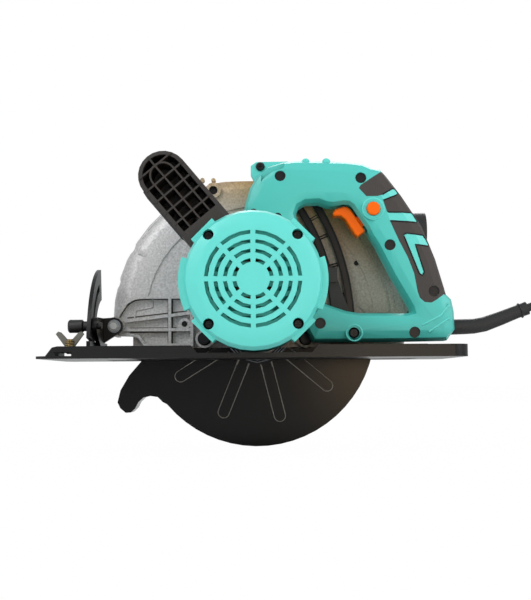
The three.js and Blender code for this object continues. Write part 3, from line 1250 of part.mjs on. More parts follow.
const [nearGrip, farGrip] = gripPads();
const shaftSeat = shaftRadius + seam / 2;
const spindleSeat = spindleRadius + gap;
const saw = new THREE.Group();
saw.name = 'circular_saw';
saw.add(...[
  piece('upper_guard', upperGuard(), castMetal),
  piece('dust_spout', dustSpout(), blackPlastic),
  piece('gear_case', gearCase(), castMetal),
  piece('bearing_retainer', bearingRetainer(), steel),
  piece('motor_housing', motorHousing(), teal),
  piece('handle_cover', handleCover(), teal),
  piece('handle_screw', railScrew(), steel),
  piece('handle_lug_screw', lugScrew(), steel),
  piece('grip_pad_near', nearGrip, gripRubber),
  piece('grip_pad_far', farGrip, gripRubber),
  piece('motor_end_cap', motorEndCap(), teal),
  piece('air_screen', airScreen(), blackPlastic),
  capScrews().map((screw, k) => piece(`cap_screw_${k + 1}`, screw, darkSteel)),
  piece('front_handle', frontHandle(), blackPlastic),
  piece('front_handle_screw', frontScrew(), steel),
  piece('field_core', fieldCore(), laminate),
  piece('field_coils', fieldCoils(), copper),
  piece('brush_ring', brushRing(), brass),
  carbonBrushes().map((brush, k) => piece(`carbon_brush_${k + 1}`, brush, carbon)),
  piece('end_bearing', bearing(shaftSeat, endBearingRadius, shaftNear, endBearingWidth, motorAxis), steel),
  piece('armature_bearing', bearing(shaftSeat, armatureBearingRadius, caseNear - gap - armatureBearingWidth,
    armatureBearingWidth, motorAxis), steel),
  piece('needle_bearing', bearing(spindleSeat, needleBearingRadius, spindleNear, needleBearingWidth,
    spindleAxis), steel),
  piece('spindle_bearing', bearing(spindleSeat, spindleBearingRadius, bearingNear, spindleBearingWidth,
    spindleAxis), steel),
  piece('trigger_switch', triggerSwitch(), blackPlastic),
  piece('cord_boot', cordBoot(), cordRubber),
  piece('depth_bolt', depthBolt(), darkSteel),
  piece('guard_retaining_ring', retainingRing(), steel),
  piece('guard_spring', guardSpring(), steel),
  piece('power_cord', powerCord(), cordRubber),
  piece('cord_coil', cordCoil(), cordRubber),
  piece('plug', plug(), cordRubber),
  piece('armature_shaft', armatureShaft(), steel),
  piece('armature_core', armatureCore(), laminate),
  piece('armature_winding', armatureWinding(), copper),
  piece('commutator', commutator(), copper),
  piece('fan', fan(), blackPlastic),
  piece('spindle_shaft', spindleShaft(), steel),
  piece('drive_gear', driveGear(), darkSteel),
  piece('inner_flange', innerFlange(), steel),
  piece('blade', blade(), steel),
  piece('outer_flange', outerFlange(), steel),
  piece('arbor_bolt', arborBolt(), darkSteel),
  piece('lower_guard', lowerGuard(), guardBlack),
  piece('trigger', trigger(), orange),
  piece('lock_button', lockButton(), orange),
  piece('depth_lever', depthLever(), blackPlastic),
  piece('pivot_bracket', pivotBracket(), blackPaint),
  piece('depth_arc', depthArc(), blackPaint),
  piece('pivot_bolt', pivotBolt(), zinc),
  piece('front_bevel_pin', bevelPin(quadrantX - seam, bracketEarX + bracketEarThickness), steel),
  piece('rear_bevel_pin', bevelPin(rearHingeX - seam, rearHingeX + 2 * rearHingeLength), steel),
  piece('shoe_plate', shoePlate(), blackPaint),
  piece('bevel_quadrant', bevelQuadrant(), blackPaint),
  piece('fence_spring', fenceSpring(), zinc),
  piece('bevel_knob', bevelKnob(), blackPlastic),
  piece('fence_screw', fenceScrew(), zinc),
].flat());
export default saw;
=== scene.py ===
import json
import math

import bmesh
import bpy
from mathutils import Euler, Matrix, Vector
from mathutils.bvhtree import BVHTree


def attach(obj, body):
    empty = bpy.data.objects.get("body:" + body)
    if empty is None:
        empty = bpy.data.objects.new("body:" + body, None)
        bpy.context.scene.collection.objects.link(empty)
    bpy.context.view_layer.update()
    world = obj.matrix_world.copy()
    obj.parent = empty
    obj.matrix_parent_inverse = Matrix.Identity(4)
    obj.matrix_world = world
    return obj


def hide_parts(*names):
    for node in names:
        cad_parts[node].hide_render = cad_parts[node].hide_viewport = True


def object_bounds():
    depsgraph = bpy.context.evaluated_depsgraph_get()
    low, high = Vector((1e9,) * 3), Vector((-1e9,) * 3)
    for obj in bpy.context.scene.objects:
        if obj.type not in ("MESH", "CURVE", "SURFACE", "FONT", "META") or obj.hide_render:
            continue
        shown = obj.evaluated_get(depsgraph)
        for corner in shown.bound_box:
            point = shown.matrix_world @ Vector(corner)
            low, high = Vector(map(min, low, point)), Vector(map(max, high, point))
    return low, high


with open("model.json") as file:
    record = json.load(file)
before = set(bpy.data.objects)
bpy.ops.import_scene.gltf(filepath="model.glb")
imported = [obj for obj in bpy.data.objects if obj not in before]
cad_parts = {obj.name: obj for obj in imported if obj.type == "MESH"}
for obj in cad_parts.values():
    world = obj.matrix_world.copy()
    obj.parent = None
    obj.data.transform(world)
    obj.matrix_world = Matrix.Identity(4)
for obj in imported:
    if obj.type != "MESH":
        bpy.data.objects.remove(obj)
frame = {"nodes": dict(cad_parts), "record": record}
cad_low, cad_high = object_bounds()
nodes = frame["nodes"]
MM = 0.001


# Camera, in millimetres and degrees, its clip in metres. It stands level with the shoe, in front of
# the motor, and looks a little upwards.
CAMERA_PLACE = (4.7, -891.0, -15.3)
CAMERA_PITCH = 4.09
CAMERA_YAW = 0.145
CAMERA_ROLL = 0.4
CAMERA_LENS = 65.6
CAMERA_SENSOR = 36.0
CAMERA_CLIP = (0.05, 20.0)


def studio_camera():
    data = bpy.data.cameras.new("camera")
    data.sensor_width = CAMERA_SENSOR
    data.lens = CAMERA_LENS
    data.clip_start, data.clip_end = CAMERA_CLIP
    camera = bpy.data.objects.new("camera", data)
    camera.location = Vector(CAMERA_PLACE) * MM
    turn = Euler((math.radians(90 + CAMERA_PITCH), 0.0, math.radians(-CAMERA_YAW))).to_matrix()
    camera.rotation_euler = (turn @ Matrix.Rotation(math.radians(-CAMERA_ROLL), 3, "Z")).to_euler()
    bpy.context.scene.collection.objects.link(camera)
    bpy.context.scene.camera = camera


# Small tools for meshes, in millimetres
BEVEL_SEGMENTS = 2


def add_object(name, data):
    piece = bpy.data.objects.new(name, data)
    bpy.context.scene.collection.objects.link(piece)
    return piece


def mesh_object(name, shape, material):
    """A new piece from a bmesh whose vertices are in millimetres."""
    bmesh.ops.scale(shape, vec=Vector((MM, MM, MM)), verts=shape.verts)
    bmesh.ops.recalc_face_normals(shape, faces=shape.faces)
    data = bpy.data.meshes.new(name)
    shape.to_mesh(data)
    shape.free()
    data.materials.append(material)
    return add_object(name, data)


def add_prism(shape, outline, near, far, soft=0.0):
    """A plate between two planes across Y, with its near edge softened."""
    back = [shape.verts.new((x, far, z)) for x, z in outline]
    front = [shape.verts.new((x, near, z)) for x, z in outline]
    count = len(outline)
    shape.faces.new(back)
    cap = shape.faces.new(list(reversed(front)))
    for i in range(count):
        j = (i + 1) % count
        shape.faces.new((front[i], front[j], back[j], back[i]))
    if soft:
        bmesh.ops.bevel(shape, geom=list(cap.edges), offset=soft, segments=BEVEL_SEGMENTS,
                        affect="EDGES", clamp_overlap=True)


def arc(centre, radius, first, last, steps):
    """Places in X and Z along an arc between two angles in degrees, both ends included."""
    turns = [math.radians(first + (last - first) * i / steps) for i in range(steps + 1)]
    return [(centre[0] + radius * math.cos(turn), centre[1] + radius * math.sin(turn))
            for turn in turns]


def circle(x, z, radius, steps=24):
    return arc((x, z), radius, 0.0, 360.0, steps)[:-1]


def at_depth(route, y):
    return [(x, y, z) for x, z in route]


def bar(x0, z0, x1, z1, width):
    """The outline of a straight bar between two places."""
    run, rise = x1 - x0, z1 - z0
    length = math.hypot(run, rise)
    side = (-rise / length * width / 2, run / length * width / 2)
    return [(x0 - side[0], z0 - side[1]), (x1 - side[0], z1 - side[1]),
            (x1 + side[0], z1 + side[1]), (x0 + side[0], z0 + side[1])]


def plates(name, outlines, near, far, material, body, soft=0.0):
    shape = bmesh.new()
    for outline in outlines:
        add_prism(shape, outline, near, far, soft)
    piece = mesh_object(name, shape, material)
    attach(piece, body)
    return piece


# Finishes: how fine their clouds and specks are, and how deep their grain is in metres
CLOUD_DETAIL, SPECK_DETAIL = 5.0, 2.0
GRAIN_DEPTH = 0.0003


def linear(colour):
    """A colour written as six hexadecimal digits, as linear light."""
    parts = [int(colour[i:i + 2], 16) / 255 for i in (0, 2, 4)]
    return [part / 12.92 if part <= 0.04045 else ((part + 0.055) / 1.055) ** 2.4 for part in parts]


def finish(name, colour, roughness, metallic=0.0, mottle=0.0, mottle_size=0.03, grain=0.0,
           grain_size=0.001, stretch=(1.0, 1.0, 1.0), specular=0.5):
    """A surface with slight uneven tone and a fine grain, both on Object coordinates."""
    material = bpy.data.materials.new(name)
    material.use_nodes = True
    tree = material.node_tree
    shader = tree.nodes["Principled BSDF"]
    base = linear(colour)
    shader.inputs["Base Color"].default_value = (*base, 1.0)
    shader.inputs["Roughness"].default_value = roughness
    shader.inputs["Metallic"].default_value = metallic
    shader.inputs["Specular IOR Level"].default_value = specular
    place = tree.nodes.new("ShaderNodeTexCoord")
    mapping = tree.nodes.new("ShaderNodeMapping")
    mapping.inputs["Scale"].default_value = stretch
    tree.links.new(place.outputs["Object"], mapping.inputs["Vector"])
    if mottle:
        cloud = tree.nodes.new("ShaderNodeTexNoise")
        cloud.inputs["Scale"].default_value = 1.0 / mottle_size
        cloud.inputs["Detail"].default_value = CLOUD_DETAIL
        tree.links.new(mapping.outputs["Vector"], cloud.inputs["Vector"])
        tone = tree.nodes.new("ShaderNodeMix")
        tone.data_type = "RGBA"
        tone.inputs["A"].default_value = (*[part * (1 - mottle) for part in base], 1.0)
        tone.inputs["B"].default_value = (*[min(1.0, part * (1 + mottle)) for part in base], 1.0)
        tree.links.new(cloud.outputs["Fac"], tone.inputs["Factor"])
        tree.links.new(tone.outputs["Result"], shader.inputs["Base Color"])
    if grain:
        speck = tree.nodes.new("ShaderNodeTexNoise")
        speck.inputs["Scale"].default_value = 1.0 / grain_size
        speck.inputs["Detail"].default_value = SPECK_DETAIL
        tree.links.new(mapping.outputs["Vector"], speck.inputs["Vector"])
        bump = tree.nodes.new("ShaderNodeBump")
        bump.inputs["Strength"].default_value = grain
        bump.inputs["Distance"].default_value = GRAIN_DEPTH
        tree.links.new(speck.outputs["Fac"], bump.inputs["Height"])
        tree.links.new(bump.outputs["Normal"], shader.inputs["Normal"])
    return material


def toned(material, colour, direction, low, high, blend="MIX"):
    """Another tone takes over along a direction, from one reach to another in metres."""
    tree = material.node_tree
    colour_socket = tree.nodes["Principled BSDF"].inputs["Base Color"]
    plain = colour_socket.links[0].from_socket
    place = tree.nodes.new("ShaderNodeTexCoord")
    reach = tree.nodes.new("ShaderNodeVectorMath")
    reach.operation = "DOT_PRODUCT"
    reach.inputs[1].default_value = direction
    share = tree.nodes.new("ShaderNodeMapRange")
    share.inputs["From Min"].default_value = low
    share.inputs["From Max"].default_value = high
    tone = tree.nodes.new("ShaderNodeMix")
    tone.data_type = "RGBA"
    tone.blend_type = blend
    tone.inputs["B"].default_value = (*linear(colour), 1.0)
    tree.links.new(place.outputs["Object"], reach.inputs[0])
    tree.links.new(reach.outputs["Value"], share.inputs["Value"])
    tree.links.new(share.outputs["Result"], tone.inputs["Factor"])
    tree.links.new(plain, tone.inputs["A"])
    tree.links.new(tone.outputs["Result"], colour_socket)


teal = finish("teal plastic", "5fd3ca", roughness=0.42, mottle=0.03, grain=0.12, grain_size=0.0007)
# A darker copy of the teal: painted shade in the air screen's slots
painted_shade_teal = finish("teal plastic darkened as painted shade", "2f9c94", roughness=0.5, mottle=0.05)
orange = finish("orange plastic", "ff6600", roughness=0.38, mottle=0.04, grain=0.1,
                grain_size=0.0007, specular=0.2)
grip_rubber = finish("grip rubber", "3d3734", roughness=0.7, mottle=0.12, mottle_size=0.01,
                     grain=0.9, grain_size=0.0012, stretch=(1.0, 1.0, 0.25))
black_plastic = finish("black plastic", "1d1d1e", roughness=0.45, mottle=0.1, grain=0.25,
                       grain_size=0.0008)
guard_black = finish("glossy black guard", "060505", roughness=0.2, mottle=0.1, specular=0.22)
# Light grey on the black guard's bead rims: painted highlight
painted_highlight_grey = finish("bead rims lightened as painted highlight", "6e6a62", roughness=0.18, specular=0.8)
black_paint = finish("black painted steel", "0e0e0f", roughness=0.32, mottle=0.15, grain=0.12,
                     grain_size=0.0012, specular=0.35)
handle_black = finish("brownish black plastic", "2a2522", roughness=0.45, mottle=0.1, grain=0.25,
                      grain_size=0.0008)
teal_deep = finish("teal plastic of the housing", "4cc0b7", roughness=0.42, mottle=0.03, grain=0.12,
                   grain_size=0.0007)
cast_grey = finish("cast aluminium", "c0bfbf", roughness=0.46, metallic=0.35, mottle=0.55,
                   mottle_size=0.0017, grain=0.9, grain_size=0.0011)
# Brown in the casting's corners: painted shade
painted_shade_brown = finish("painted shade in the corners of the casting", "4a4238", roughness=0.7, mottle=0.2)
steel = finish("ground steel", "8f9498", roughness=0.32, metallic=0.95, mottle=0.08, grain=0.1)
dark_steel = finish("blackened screw steel", "2d2e30", roughness=0.35, metallic=0.8, mottle=0.1)
zinc = finish("zinc plate", "c4c6c4", roughness=0.28, metallic=0.95, mottle=0.08)
dull_zinc = finish("dull zinc plate", "77766f", roughness=0.4, metallic=0.9, mottle=0.15)
bronze = finish("yellow zinc plate", "8d7a54", roughness=0.33, metallic=0.9, mottle=0.15,
                mottle_size=0.004)
laminate = finish("core laminations", "6a6c70", roughness=0.5, metallic=0.6, grain=0.6,
                  grain_size=0.0008, stretch=(0.1, 1.0, 0.1))
copper = finish("copper wire", "b8693a", roughness=0.35, metallic=0.9, mottle=0.1)
brass = finish("brass", "c8a24a", roughness=0.35, metallic=0.9, mottle=0.1)
carbon = finish("carbon", "2a2a2c", roughness=0.75, mottle=0.1)
cord_rubber = finish("cord rubber", "171718", roughness=0.5, mottle=0.12, grain=0.15,
                     grain_size=0.0008)
# Black for the seams of the grip, and painted shade in holes and recesses
shade_and_seam_black = finish("black of seams and painted shade", "0b0b0c", roughness=0.8)

FINISHES = {
    "cast_metal": cast_grey, "black_plastic": black_plastic, "steel": steel, "teal_plastic": teal,
    "grip_rubber": grip_rubber, "laminate": laminate, "copper": copper, "brass": brass,
    "carbon": carbon, "cord_rubber": cord_rubber, "guard_black": guard_black,
    "orange_plastic": orange, "black_paint": black_paint, "zinc": zinc,
}
# The air screen takes the darker teal of painted shade
NODE_FINISHES = {
    "air_screen": painted_shade_teal, "handle_screw": dark_steel, "handle_lug_screw": dark_steel,
    "front_handle_screw": dark_steel, "depth_bolt": dark_steel, "front_handle": handle_black,
    "motor_housing": teal_deep, "fence_spring": bronze, "fence_screw": dull_zinc,
    **{f"cap_screw_{i}": dark_steel for i in range(1, 5)},
}

# The casting is darkened to the right as painted shade, and turns tan at its top
toned(cast_grey, "ccc6ba", direction=(1.0, -0.3, 0.0), low=0.015, high=0.06, blend="MULTIPLY")
toned(cast_grey, "ecc68a", direction=(0.35, -0.5, 1.0), low=0.095, high=0.14, blend="MULTIPLY")
# The lower guard turns brown to the right: a painted warm sheen
toned(guard_black, "1d150b", direction=(1.0, 0.0, 0.3), low=0.02, high=0.09)


def paint_frame():
    slots = {row["node"]: row["material_slot"] for row in frame["record"]["subparts"]}
    for name, node in nodes.items():
        material = NODE_FINISHES.get(name, FINISHES[slots[name]])
        for place in node.material_slots:
            place.material = material


# Cord, in millimetres: out of its boot, over the edge, down to the floor and into a flat coil
CORD_DIAMETER = 6.7
CORD_SIDE = -20.0
CORD_BEND = 32.5
CORD_SLOPE = 1 / 3
BEND_STEPS = 6
CORD_SMOOTHNESS = 3
BOOT_ROUTE = [(172.6, 24.84), (180.9, 26.31), (194.2, 31.02), (207.5, 36.16), (215.8, 39.1)]
COIL_X = 294.0
COIL_RADIUS = 51.5
COIL_TURNS = 6.25
COIL_PITCH = 7.2
COIL_STEPS = 28
COIL_START = 0.25
CLIMB_TURNS = 0.5
CORD_TAIL = 6.4 * CORD_DIAMETER
CORD_FLOOR = cad_low[2] / MM + CORD_DIAMETER / 2


def free_run():
    """The stretch in the air, from the boot over its edge and down to where the coil starts."""
    end_x, end_z = BOOT_ROUTE[-1]
    over = [(end_x + k * CORD_DIAMETER, end_z + k * CORD_DIAMETER * CORD_SLOPE) for k in (1, 2)]
    quarter = [math.pi / 2 * (i + 1) / BEND_STEPS for i in range(BEND_STEPS)]
    fall = [(over[1][0] + CORD_BEND * math.sin(turn), over[1][1] - CORD_BEND * (1 - math.cos(turn)))
            for turn in quarter]
    foot = COIL_X - CORD_DIAMETER
    landing = [(foot - CORD_BEND * math.sin(turn), CORD_FLOOR + CORD_BEND * (1 - math.cos(turn)))
               for turn in reversed([0.0, *quarter])]
    return at_depth([*BOOT_ROUTE[-2:], *over, *fall, *landing], CORD_SIDE)


def coil_run():
    """Two layers of turns, inwards on the floor and outwards on top, and a tail to the plug."""
    side = CORD_SIDE + COIL_RADIUS
    route = []
    for i in range(round(COIL_TURNS * COIL_STEPS) + 1):
        turns = i / COIL_STEPS
        radius = COIL_RADIUS - COIL_PITCH * min(turns, COIL_TURNS - turns)
        climb = max(0.0, min(1.0, (turns - COIL_TURNS / 2) / CLIMB_TURNS + 0.5))
        angle = 2 * math.pi * (turns - COIL_START)
        route.append((COIL_X + radius * math.cos(angle), side + radius * math.sin(angle),
                      CORD_FLOOR + COIL_PITCH * climb))
    last = route[-1]
    tail = [(last[0], last[1] + CORD_TAIL * share, last[2]) for share in (0.5, 1.0)]
    return [*route, *tail]


def supply_cord():
    route = [*free_run(), *coil_run()]
    data = bpy.data.curves.new("supply cord", "CURVE")
    data.dimensions = "3D"
    data.resolution_u = CORD_SMOOTHNESS
    data.bevel_depth = CORD_DIAMETER / 2 * MM
    data.bevel_resolution = CORD_SMOOTHNESS
    data.use_fill_caps = True
    line = data.splines.new("BEZIER")
    line.bezier_points.add(len(route) - 1)
    for knot, place in zip(line.bezier_points, route):
        knot.co = Vector(place) * MM
        knot.handle_left_type = knot.handle_right_type = "AUTO"
    data.materials.append(cord_rubber)
    cord = add_object("supply_cord", data)
    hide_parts("power_cord", "cord_coil")
    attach(cord, "saw_body")


# Places that several pieces share, in millimetres, and the steps of a full ring
HANDLE_NEAR = -37.0
MOTOR_AXIS = (-2.0, 55.0)
PIVOT = (-115.9, 27.6)
SPINDLE_HEIGHT = 26.5
RING_STEPS = 32

# Edges sharper than this many degrees stay sharp. Corners closer than these distances in metres are
# joined, the fine one where a solid is copied.
SHARP_ANGLE = 38.0
WELD_DISTANCE, FINE_WELD_DISTANCE = MM / 200, MM / 1000

# Screws of the housing and of the gear case, with the cross recess in shares of their head
SCREW_RADIUS, SCREW_HEIGHT, SCREW_SIDES = 4.2, 2.4, 20
CROSS_LENGTH, CROSS_WIDTH, CROSS_LIFT = 1.15, 0.26, 0.55
HANDLE_SCREW_FACE, CASE_SCREW_FACE = -34.6, -0.8
RECESS_RADIUS, RECESS_NEAR, RECESS_FAR = 5.6, -0.95, -0.4
HANDLE_SCREWS = [(19.05, 144.1), (105.2, 88.7), (49.6, 27.3), (123.5, 19.8), (139.1, 52.0),
                 (82.8, 142.1)]
CASE_SCREWS = [(-43.0, 17.0), (39.5, 16.7), (-33.0, 86.0), (29.0, 86.0)]


def grid_points(name, places):
    """Loose vertices, which a tree of nodes sets pieces on."""
    data = bpy.data.meshes.new(name)
    data.from_pydata([Vector(place) * MM for place in places], [], [])
    return add_object(name, data)


def link(tree, pairs):
    for source, target in pairs:
        tree.links.new(source, target)


def new_tree(name, inputs):
    """An empty tree from geometry to geometry; a further input is a name and a kind of socket."""
    tree = bpy.data.node_groups.new(name, "GeometryNodeTree")
    face = tree.interface
    face.new_socket("Geometry", in_out="INPUT", socket_type="NodeSocketGeometry")
    for title, kind in inputs:
        face.new_socket(title, in_out="INPUT", socket_type=kind)
    face.new_socket("Geometry", in_out="OUTPUT", socket_type="NodeSocketGeometry")
    return tree, tree.nodes.new("NodeGroupInput"), tree.nodes.new("NodeGroupOutput")


def cross_screw_tree():
    """Round heads with a cross recess on loose vertices, their axes along Y."""
    tree, start, end = new_tree("cross screws", [
        ("Head Radius", "NodeSocketFloat"), ("Head Height", "NodeSocketFloat"),
        ("Material", "NodeSocketMaterial")])
    head = tree.nodes.new("GeometryNodeMeshCylinder")
    head.inputs["Vertices"].default_value = SCREW_SIDES
    arms = []
    for turned in (False, True):
        size = tree.nodes.new("ShaderNodeCombineXYZ")
        long_arm, short_arm = tree.nodes.new("ShaderNodeMath"), tree.nodes.new("ShaderNodeMath")
        for part, share in ((long_arm, CROSS_LENGTH), (short_arm, CROSS_WIDTH)):
            part.operation = "MULTIPLY"
            part.inputs[1].default_value = share
            tree.links.new(start.outputs["Head Radius"], part.inputs[0])
        box = tree.nodes.new("GeometryNodeMeshCube")
        first, second = (short_arm, long_arm) if turned else (long_arm, short_arm)
        link(tree,
             [(first.outputs[0], size.inputs["X"]), (second.outputs[0], size.inputs["Y"]),
              (start.outputs["Head Height"], size.inputs["Z"]),
              (size.outputs[0], box.inputs["Size"])])
        arms.append(box)
    cross = tree.nodes.new("GeometryNodeJoinGeometry")
    lift = tree.nodes.new("GeometryNodeTransform")
    rise = tree.nodes.new("ShaderNodeCombineXYZ")
    raised = tree.nodes.new("ShaderNodeMath")
    raised.operation = "MULTIPLY"
    raised.inputs[1].default_value = CROSS_LIFT
    carve = tree.nodes.new("GeometryNodeMeshBoolean")
    carve.operation = "DIFFERENCE"
    stand = tree.nodes.new("GeometryNodeTransform")
    stand.inputs["Rotation"].default_value = (math.radians(90), 0.0, 0.0)
    place = tree.nodes.new("GeometryNodeInstanceOnPoints")
    real = tree.nodes.new("GeometryNodeRealizeInstances")
    paint = tree.nodes.new("GeometryNodeSetMaterial")
    link(tree,
         [(start.outputs["Head Radius"], head.inputs["Radius"]),
          (start.outputs["Head Height"], head.inputs["Depth"]),
          (arms[0].outputs["Mesh"], cross.inputs[0]), (arms[1].outputs["Mesh"], cross.inputs[0]),
          (start.outputs["Head Height"], raised.inputs[0]), (raised.outputs[0], rise.inputs["Z"]),
          (cross.outputs[0], lift.inputs["Geometry"]),
          (rise.outputs[0], lift.inputs["Translation"]),
          (head.outputs["Mesh"], carve.inputs["Mesh 1"]), (lift.outputs[0], carve.inputs["Mesh 2"]),
          (carve.outputs[0], stand.inputs["Geometry"]),
          (start.outputs["Geometry"], place.inputs["Points"]),
          (stand.outputs[0], place.inputs["Instance"]), (place.outputs[0], real.inputs[0]),
          (real.outputs[0], paint.inputs["Geometry"]),
          (start.outputs["Material"], paint.inputs["Material"]),
          (paint.outputs[0], end.inputs["Geometry"])])
    return tree


def evaluated_mesh(piece):
    """A new mesh of what a piece's modifiers make of it."""
    state = bpy.context.evaluated_depsgraph_get()
    return bpy.data.meshes.new_from_object(piece.evaluated_get(state))


def run_tree(name, seeds, tree, values, material, body):
    """Runs a tree on an object and keeps its result as a plain mesh on one body."""
    step = seeds.modifiers.new(name, "NODES")
    step.node_group = tree
    for socket in tree.interface.items_tree:
        if socket.in_out == "INPUT" and socket.name in values:
            step[socket.identifier] = values[socket.name]
    data = evaluated_mesh(seeds)
    bpy.data.objects.remove(seeds)
    data.name = name
    data.materials.clear()
    data.materials.append(material)
    piece = add_object(name, data)
    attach(piece, body)
    return piece


def grow(name, places, tree, values, material, body):
    return run_tree(name, grid_points(name, places), tree, values, material, body)


# Sides of a ridge's round section
RIDGE_SIDES = 8


def ridge_tree():
    """Round ridges along the edges of a wire mesh."""
    tree, start, end = new_tree("ridges",
                                [("Radius", "NodeSocketFloat"), ("Material", "NodeSocketMaterial")])
    line = tree.nodes.new("GeometryNodeMeshToCurve")
    profile = tree.nodes.new("GeometryNodeCurvePrimitiveCircle")
    profile.inputs["Resolution"].default_value = RIDGE_SIDES
    skin = tree.nodes.new("GeometryNodeCurveToMesh")
    skin.inputs["Fill Caps"].default_value = True
    smooth = tree.nodes.new("GeometryNodeSetShadeSmooth")
    real = tree.nodes.new("GeometryNodeRealizeInstances")
    paint = tree.nodes.new("GeometryNodeSetMaterial")
    link(tree,
         [(start.outputs["Geometry"], line.inputs["Mesh"]),
          (start.outputs["Radius"], profile.inputs["Radius"]),
          (line.outputs["Curve"], skin.inputs["Curve"]),
          (profile.outputs["Curve"], skin.inputs["Profile Curve"]),
          (skin.outputs["Mesh"], smooth.inputs["Geometry"]), (smooth.outputs[0], real.inputs[0]),
          (real.outputs[0], paint.inputs["Geometry"]),
          (start.outputs["Material"], paint.inputs["Material"]),
          (paint.outputs[0], end.inputs["Geometry"])])
    return tree


RIDGES = ridge_tree()


def soft_edges_tree():
    """Joins loose triangles and shades them smooth, but for the edges sharper than an angle."""
    tree, start, end = new_tree("soft edges", [("Sharp Angle", "NodeSocketFloat")])
    weld = tree.nodes.new("GeometryNodeMergeByDistance")
    weld.inputs["Distance"].default_value = WELD_DISTANCE
    round_all = tree.nodes.new("GeometryNodeSetShadeSmooth")
    keep_sharp = tree.nodes.new("GeometryNodeSetShadeSmooth")
    keep_sharp.domain = "EDGE"
    keep_sharp.inputs["Shade Smooth"].default_value = False
    bend = tree.nodes.new("GeometryNodeInputMeshEdgeAngle")
    sharp = tree.nodes.new("FunctionNodeCompare")
    sharp.data_type = "FLOAT"
    sharp.operation = "GREATER_THAN"
    link(tree,
         [(start.outputs["Geometry"], weld.inputs["Geometry"]),
          (weld.outputs[0], round_all.inputs["Geometry"]),
          (round_all.outputs[0], keep_sharp.inputs["Geometry"]),
          (bend.outputs["Unsigned Angle"], sharp.inputs[0]),
          (start.outputs["Sharp Angle"], sharp.inputs[1]),
          (sharp.outputs[0], keep_sharp.inputs["Selection"]),
          (keep_sharp.outputs[0], end.inputs["Geometry"])])
    return tree


def soften_frame():
    """The CAD nodes keep their meshes; their fillets and round walls are shaded smooth."""
    tree = soft_edges_tree()
    angle_socket = next(socket.identifier for socket in tree.interface.items_tree
                        if socket.name == "Sharp Angle")
    for node in nodes.values():
        step = node.modifiers.new("soft edges", "NODES")
        step.node_group = tree
        step[angle_socket] = math.radians(SHARP_ANGLE)
        level = node.modifiers.new("even faces", "WEIGHTED_NORMAL")
        level.keep_sharp = True
        level.mode = "FACE_AREA"


# Two places this close are one, and a ray along Y starts well before the handle
SAME_PLACE = 1e-6
RAY_START = 2 * HANDLE_NEAR


def ridges(name, routes, radius, material, body):
    """Ridges along lines of places in millimetres; a line that ends where it starts is closed."""
    data = bpy.data.meshes.new(name)
    places, edges = [], []
    for route in routes:
        closed = (Vector(route[0]) - Vector(route[-1])).length < SAME_PLACE
        first = len(places)
        kept = route[:-1] if closed else route
        places += [Vector(place) * MM for place in kept]
        edges += [(first + i, first + i + 1) for i in range(len(kept) - 1)]
        if closed:
            edges.append((first + len(kept) - 1, first))
    data.from_pydata(places, edges, [])
    wires = add_object(name, data)
    return run_tree(name, wires, RIDGES, {"Radius": radius * MM, "Material": material}, material,
                    body)


def laid_on(node, outline, closed=True, pace=2.0):
    """The runs of a line across Y that lie on a node's near side, where a ray along Y meets it."""
    shape = bmesh.new()
    shape.from_mesh(node.data)
    skin = BVHTree.FromBMesh(shape)
    shape.free()
    runs, run = [], []
    for (x0, z0), (x1, z1) in zip(outline, outline[1:] + (outline[:1] if closed else [])):
        steps = max(1, round(math.hypot(x1 - x0, z1 - z0) / pace))
        for i in range(steps):
            x, z = x0 + (x1 - x0) * i / steps, z0 + (z1 - z0) * i / steps
            hit = skin.ray_cast(Vector((x, RAY_START, z)) * MM, Vector((0.0, 1.0, 0.0)))[0]
            if hit:
                run.append((x, hit.y / MM, z))
            elif run:
                runs.append(run)
                run = []
    return [kept for kept in [*runs, run] if len(kept) > 1]


def housing_screws():
    tree = cross_screw_tree()
    sizes = {"Head Radius": SCREW_RADIUS * MM, "Head Height": SCREW_HEIGHT * MM,
             "Material": dark_steel}
    on_handle = [(x, HANDLE_SCREW_FACE + SCREW_HEIGHT / 2, z) for x, z in HANDLE_SCREWS]
    on_case = [(x, CASE_SCREW_FACE - SCREW_HEIGHT / 2, z) for x, z in CASE_SCREWS]
    # The recesses round the gear case screws are black discs of painted shade
    recesses = [circle(x, z, RECESS_RADIUS) for x, z in CASE_SCREWS]
    grow("handle_screw_heads", on_handle, tree, sizes, dark_steel, "saw_body")
    plates("gear_case_recesses", recesses, RECESS_NEAR, RECESS_FAR, shade_and_seam_black, "saw_body")
    grow("gear_case_screw_heads", on_case, tree, sizes, dark_steel, "saw_body")


# Grip: the rubber of each half with the teal stripes that run through it
GRIP_STRIPES = [
    [(98.0, 127.6), (108.0, 133.6), (110.8, 132.3), (112.0, 129.8), (110.0, 127.9), (100.6, 124.2)],
    [(102.0, 114.6), (121.8, 114.3), (123.7, 113.4), (127.0, 107.3), (126.2, 106.4),
     (103.4, 107.9)],
    [(116.0, 96.5), (118.1, 97.8), (131.4, 96.2), (136.1, 88.7), (135.3, 87.6), (125.0, 88.8),
     (131.6, 67.1), (130.1, 64.3), (127.8, 65.8), (116.3, 95.4)],
]
STRIPE_NEAR, STRIPE_FAR = -41.2, 37.0


def solid_copy(name, source):
    """A joined copy of a CAD node's loose triangles."""
    shape = bmesh.new()
    shape.from_mesh(source.data)
    bmesh.ops.remove_doubles(shape, verts=shape.verts, dist=FINE_WELD_DISTANCE)
    data = bpy.data.meshes.new(name)
    shape.to_mesh(data)
    shape.free()
    data.materials.clear()
    return add_object(name, data)


def carved(name, solid, cutter, operation, material):
    """What is left of a solid after a cutter, as a plain mesh."""
    step = solid.modifiers.new("carve", "BOOLEAN")
    step.operation = operation
    step.object = cutter
    step.solver = "EXACT"
    data = evaluated_mesh(solid)
    solid.modifiers.remove(step)
    data.name = name
    data.materials.clear()
    data.materials.append(material)
    return add_object(name, data)


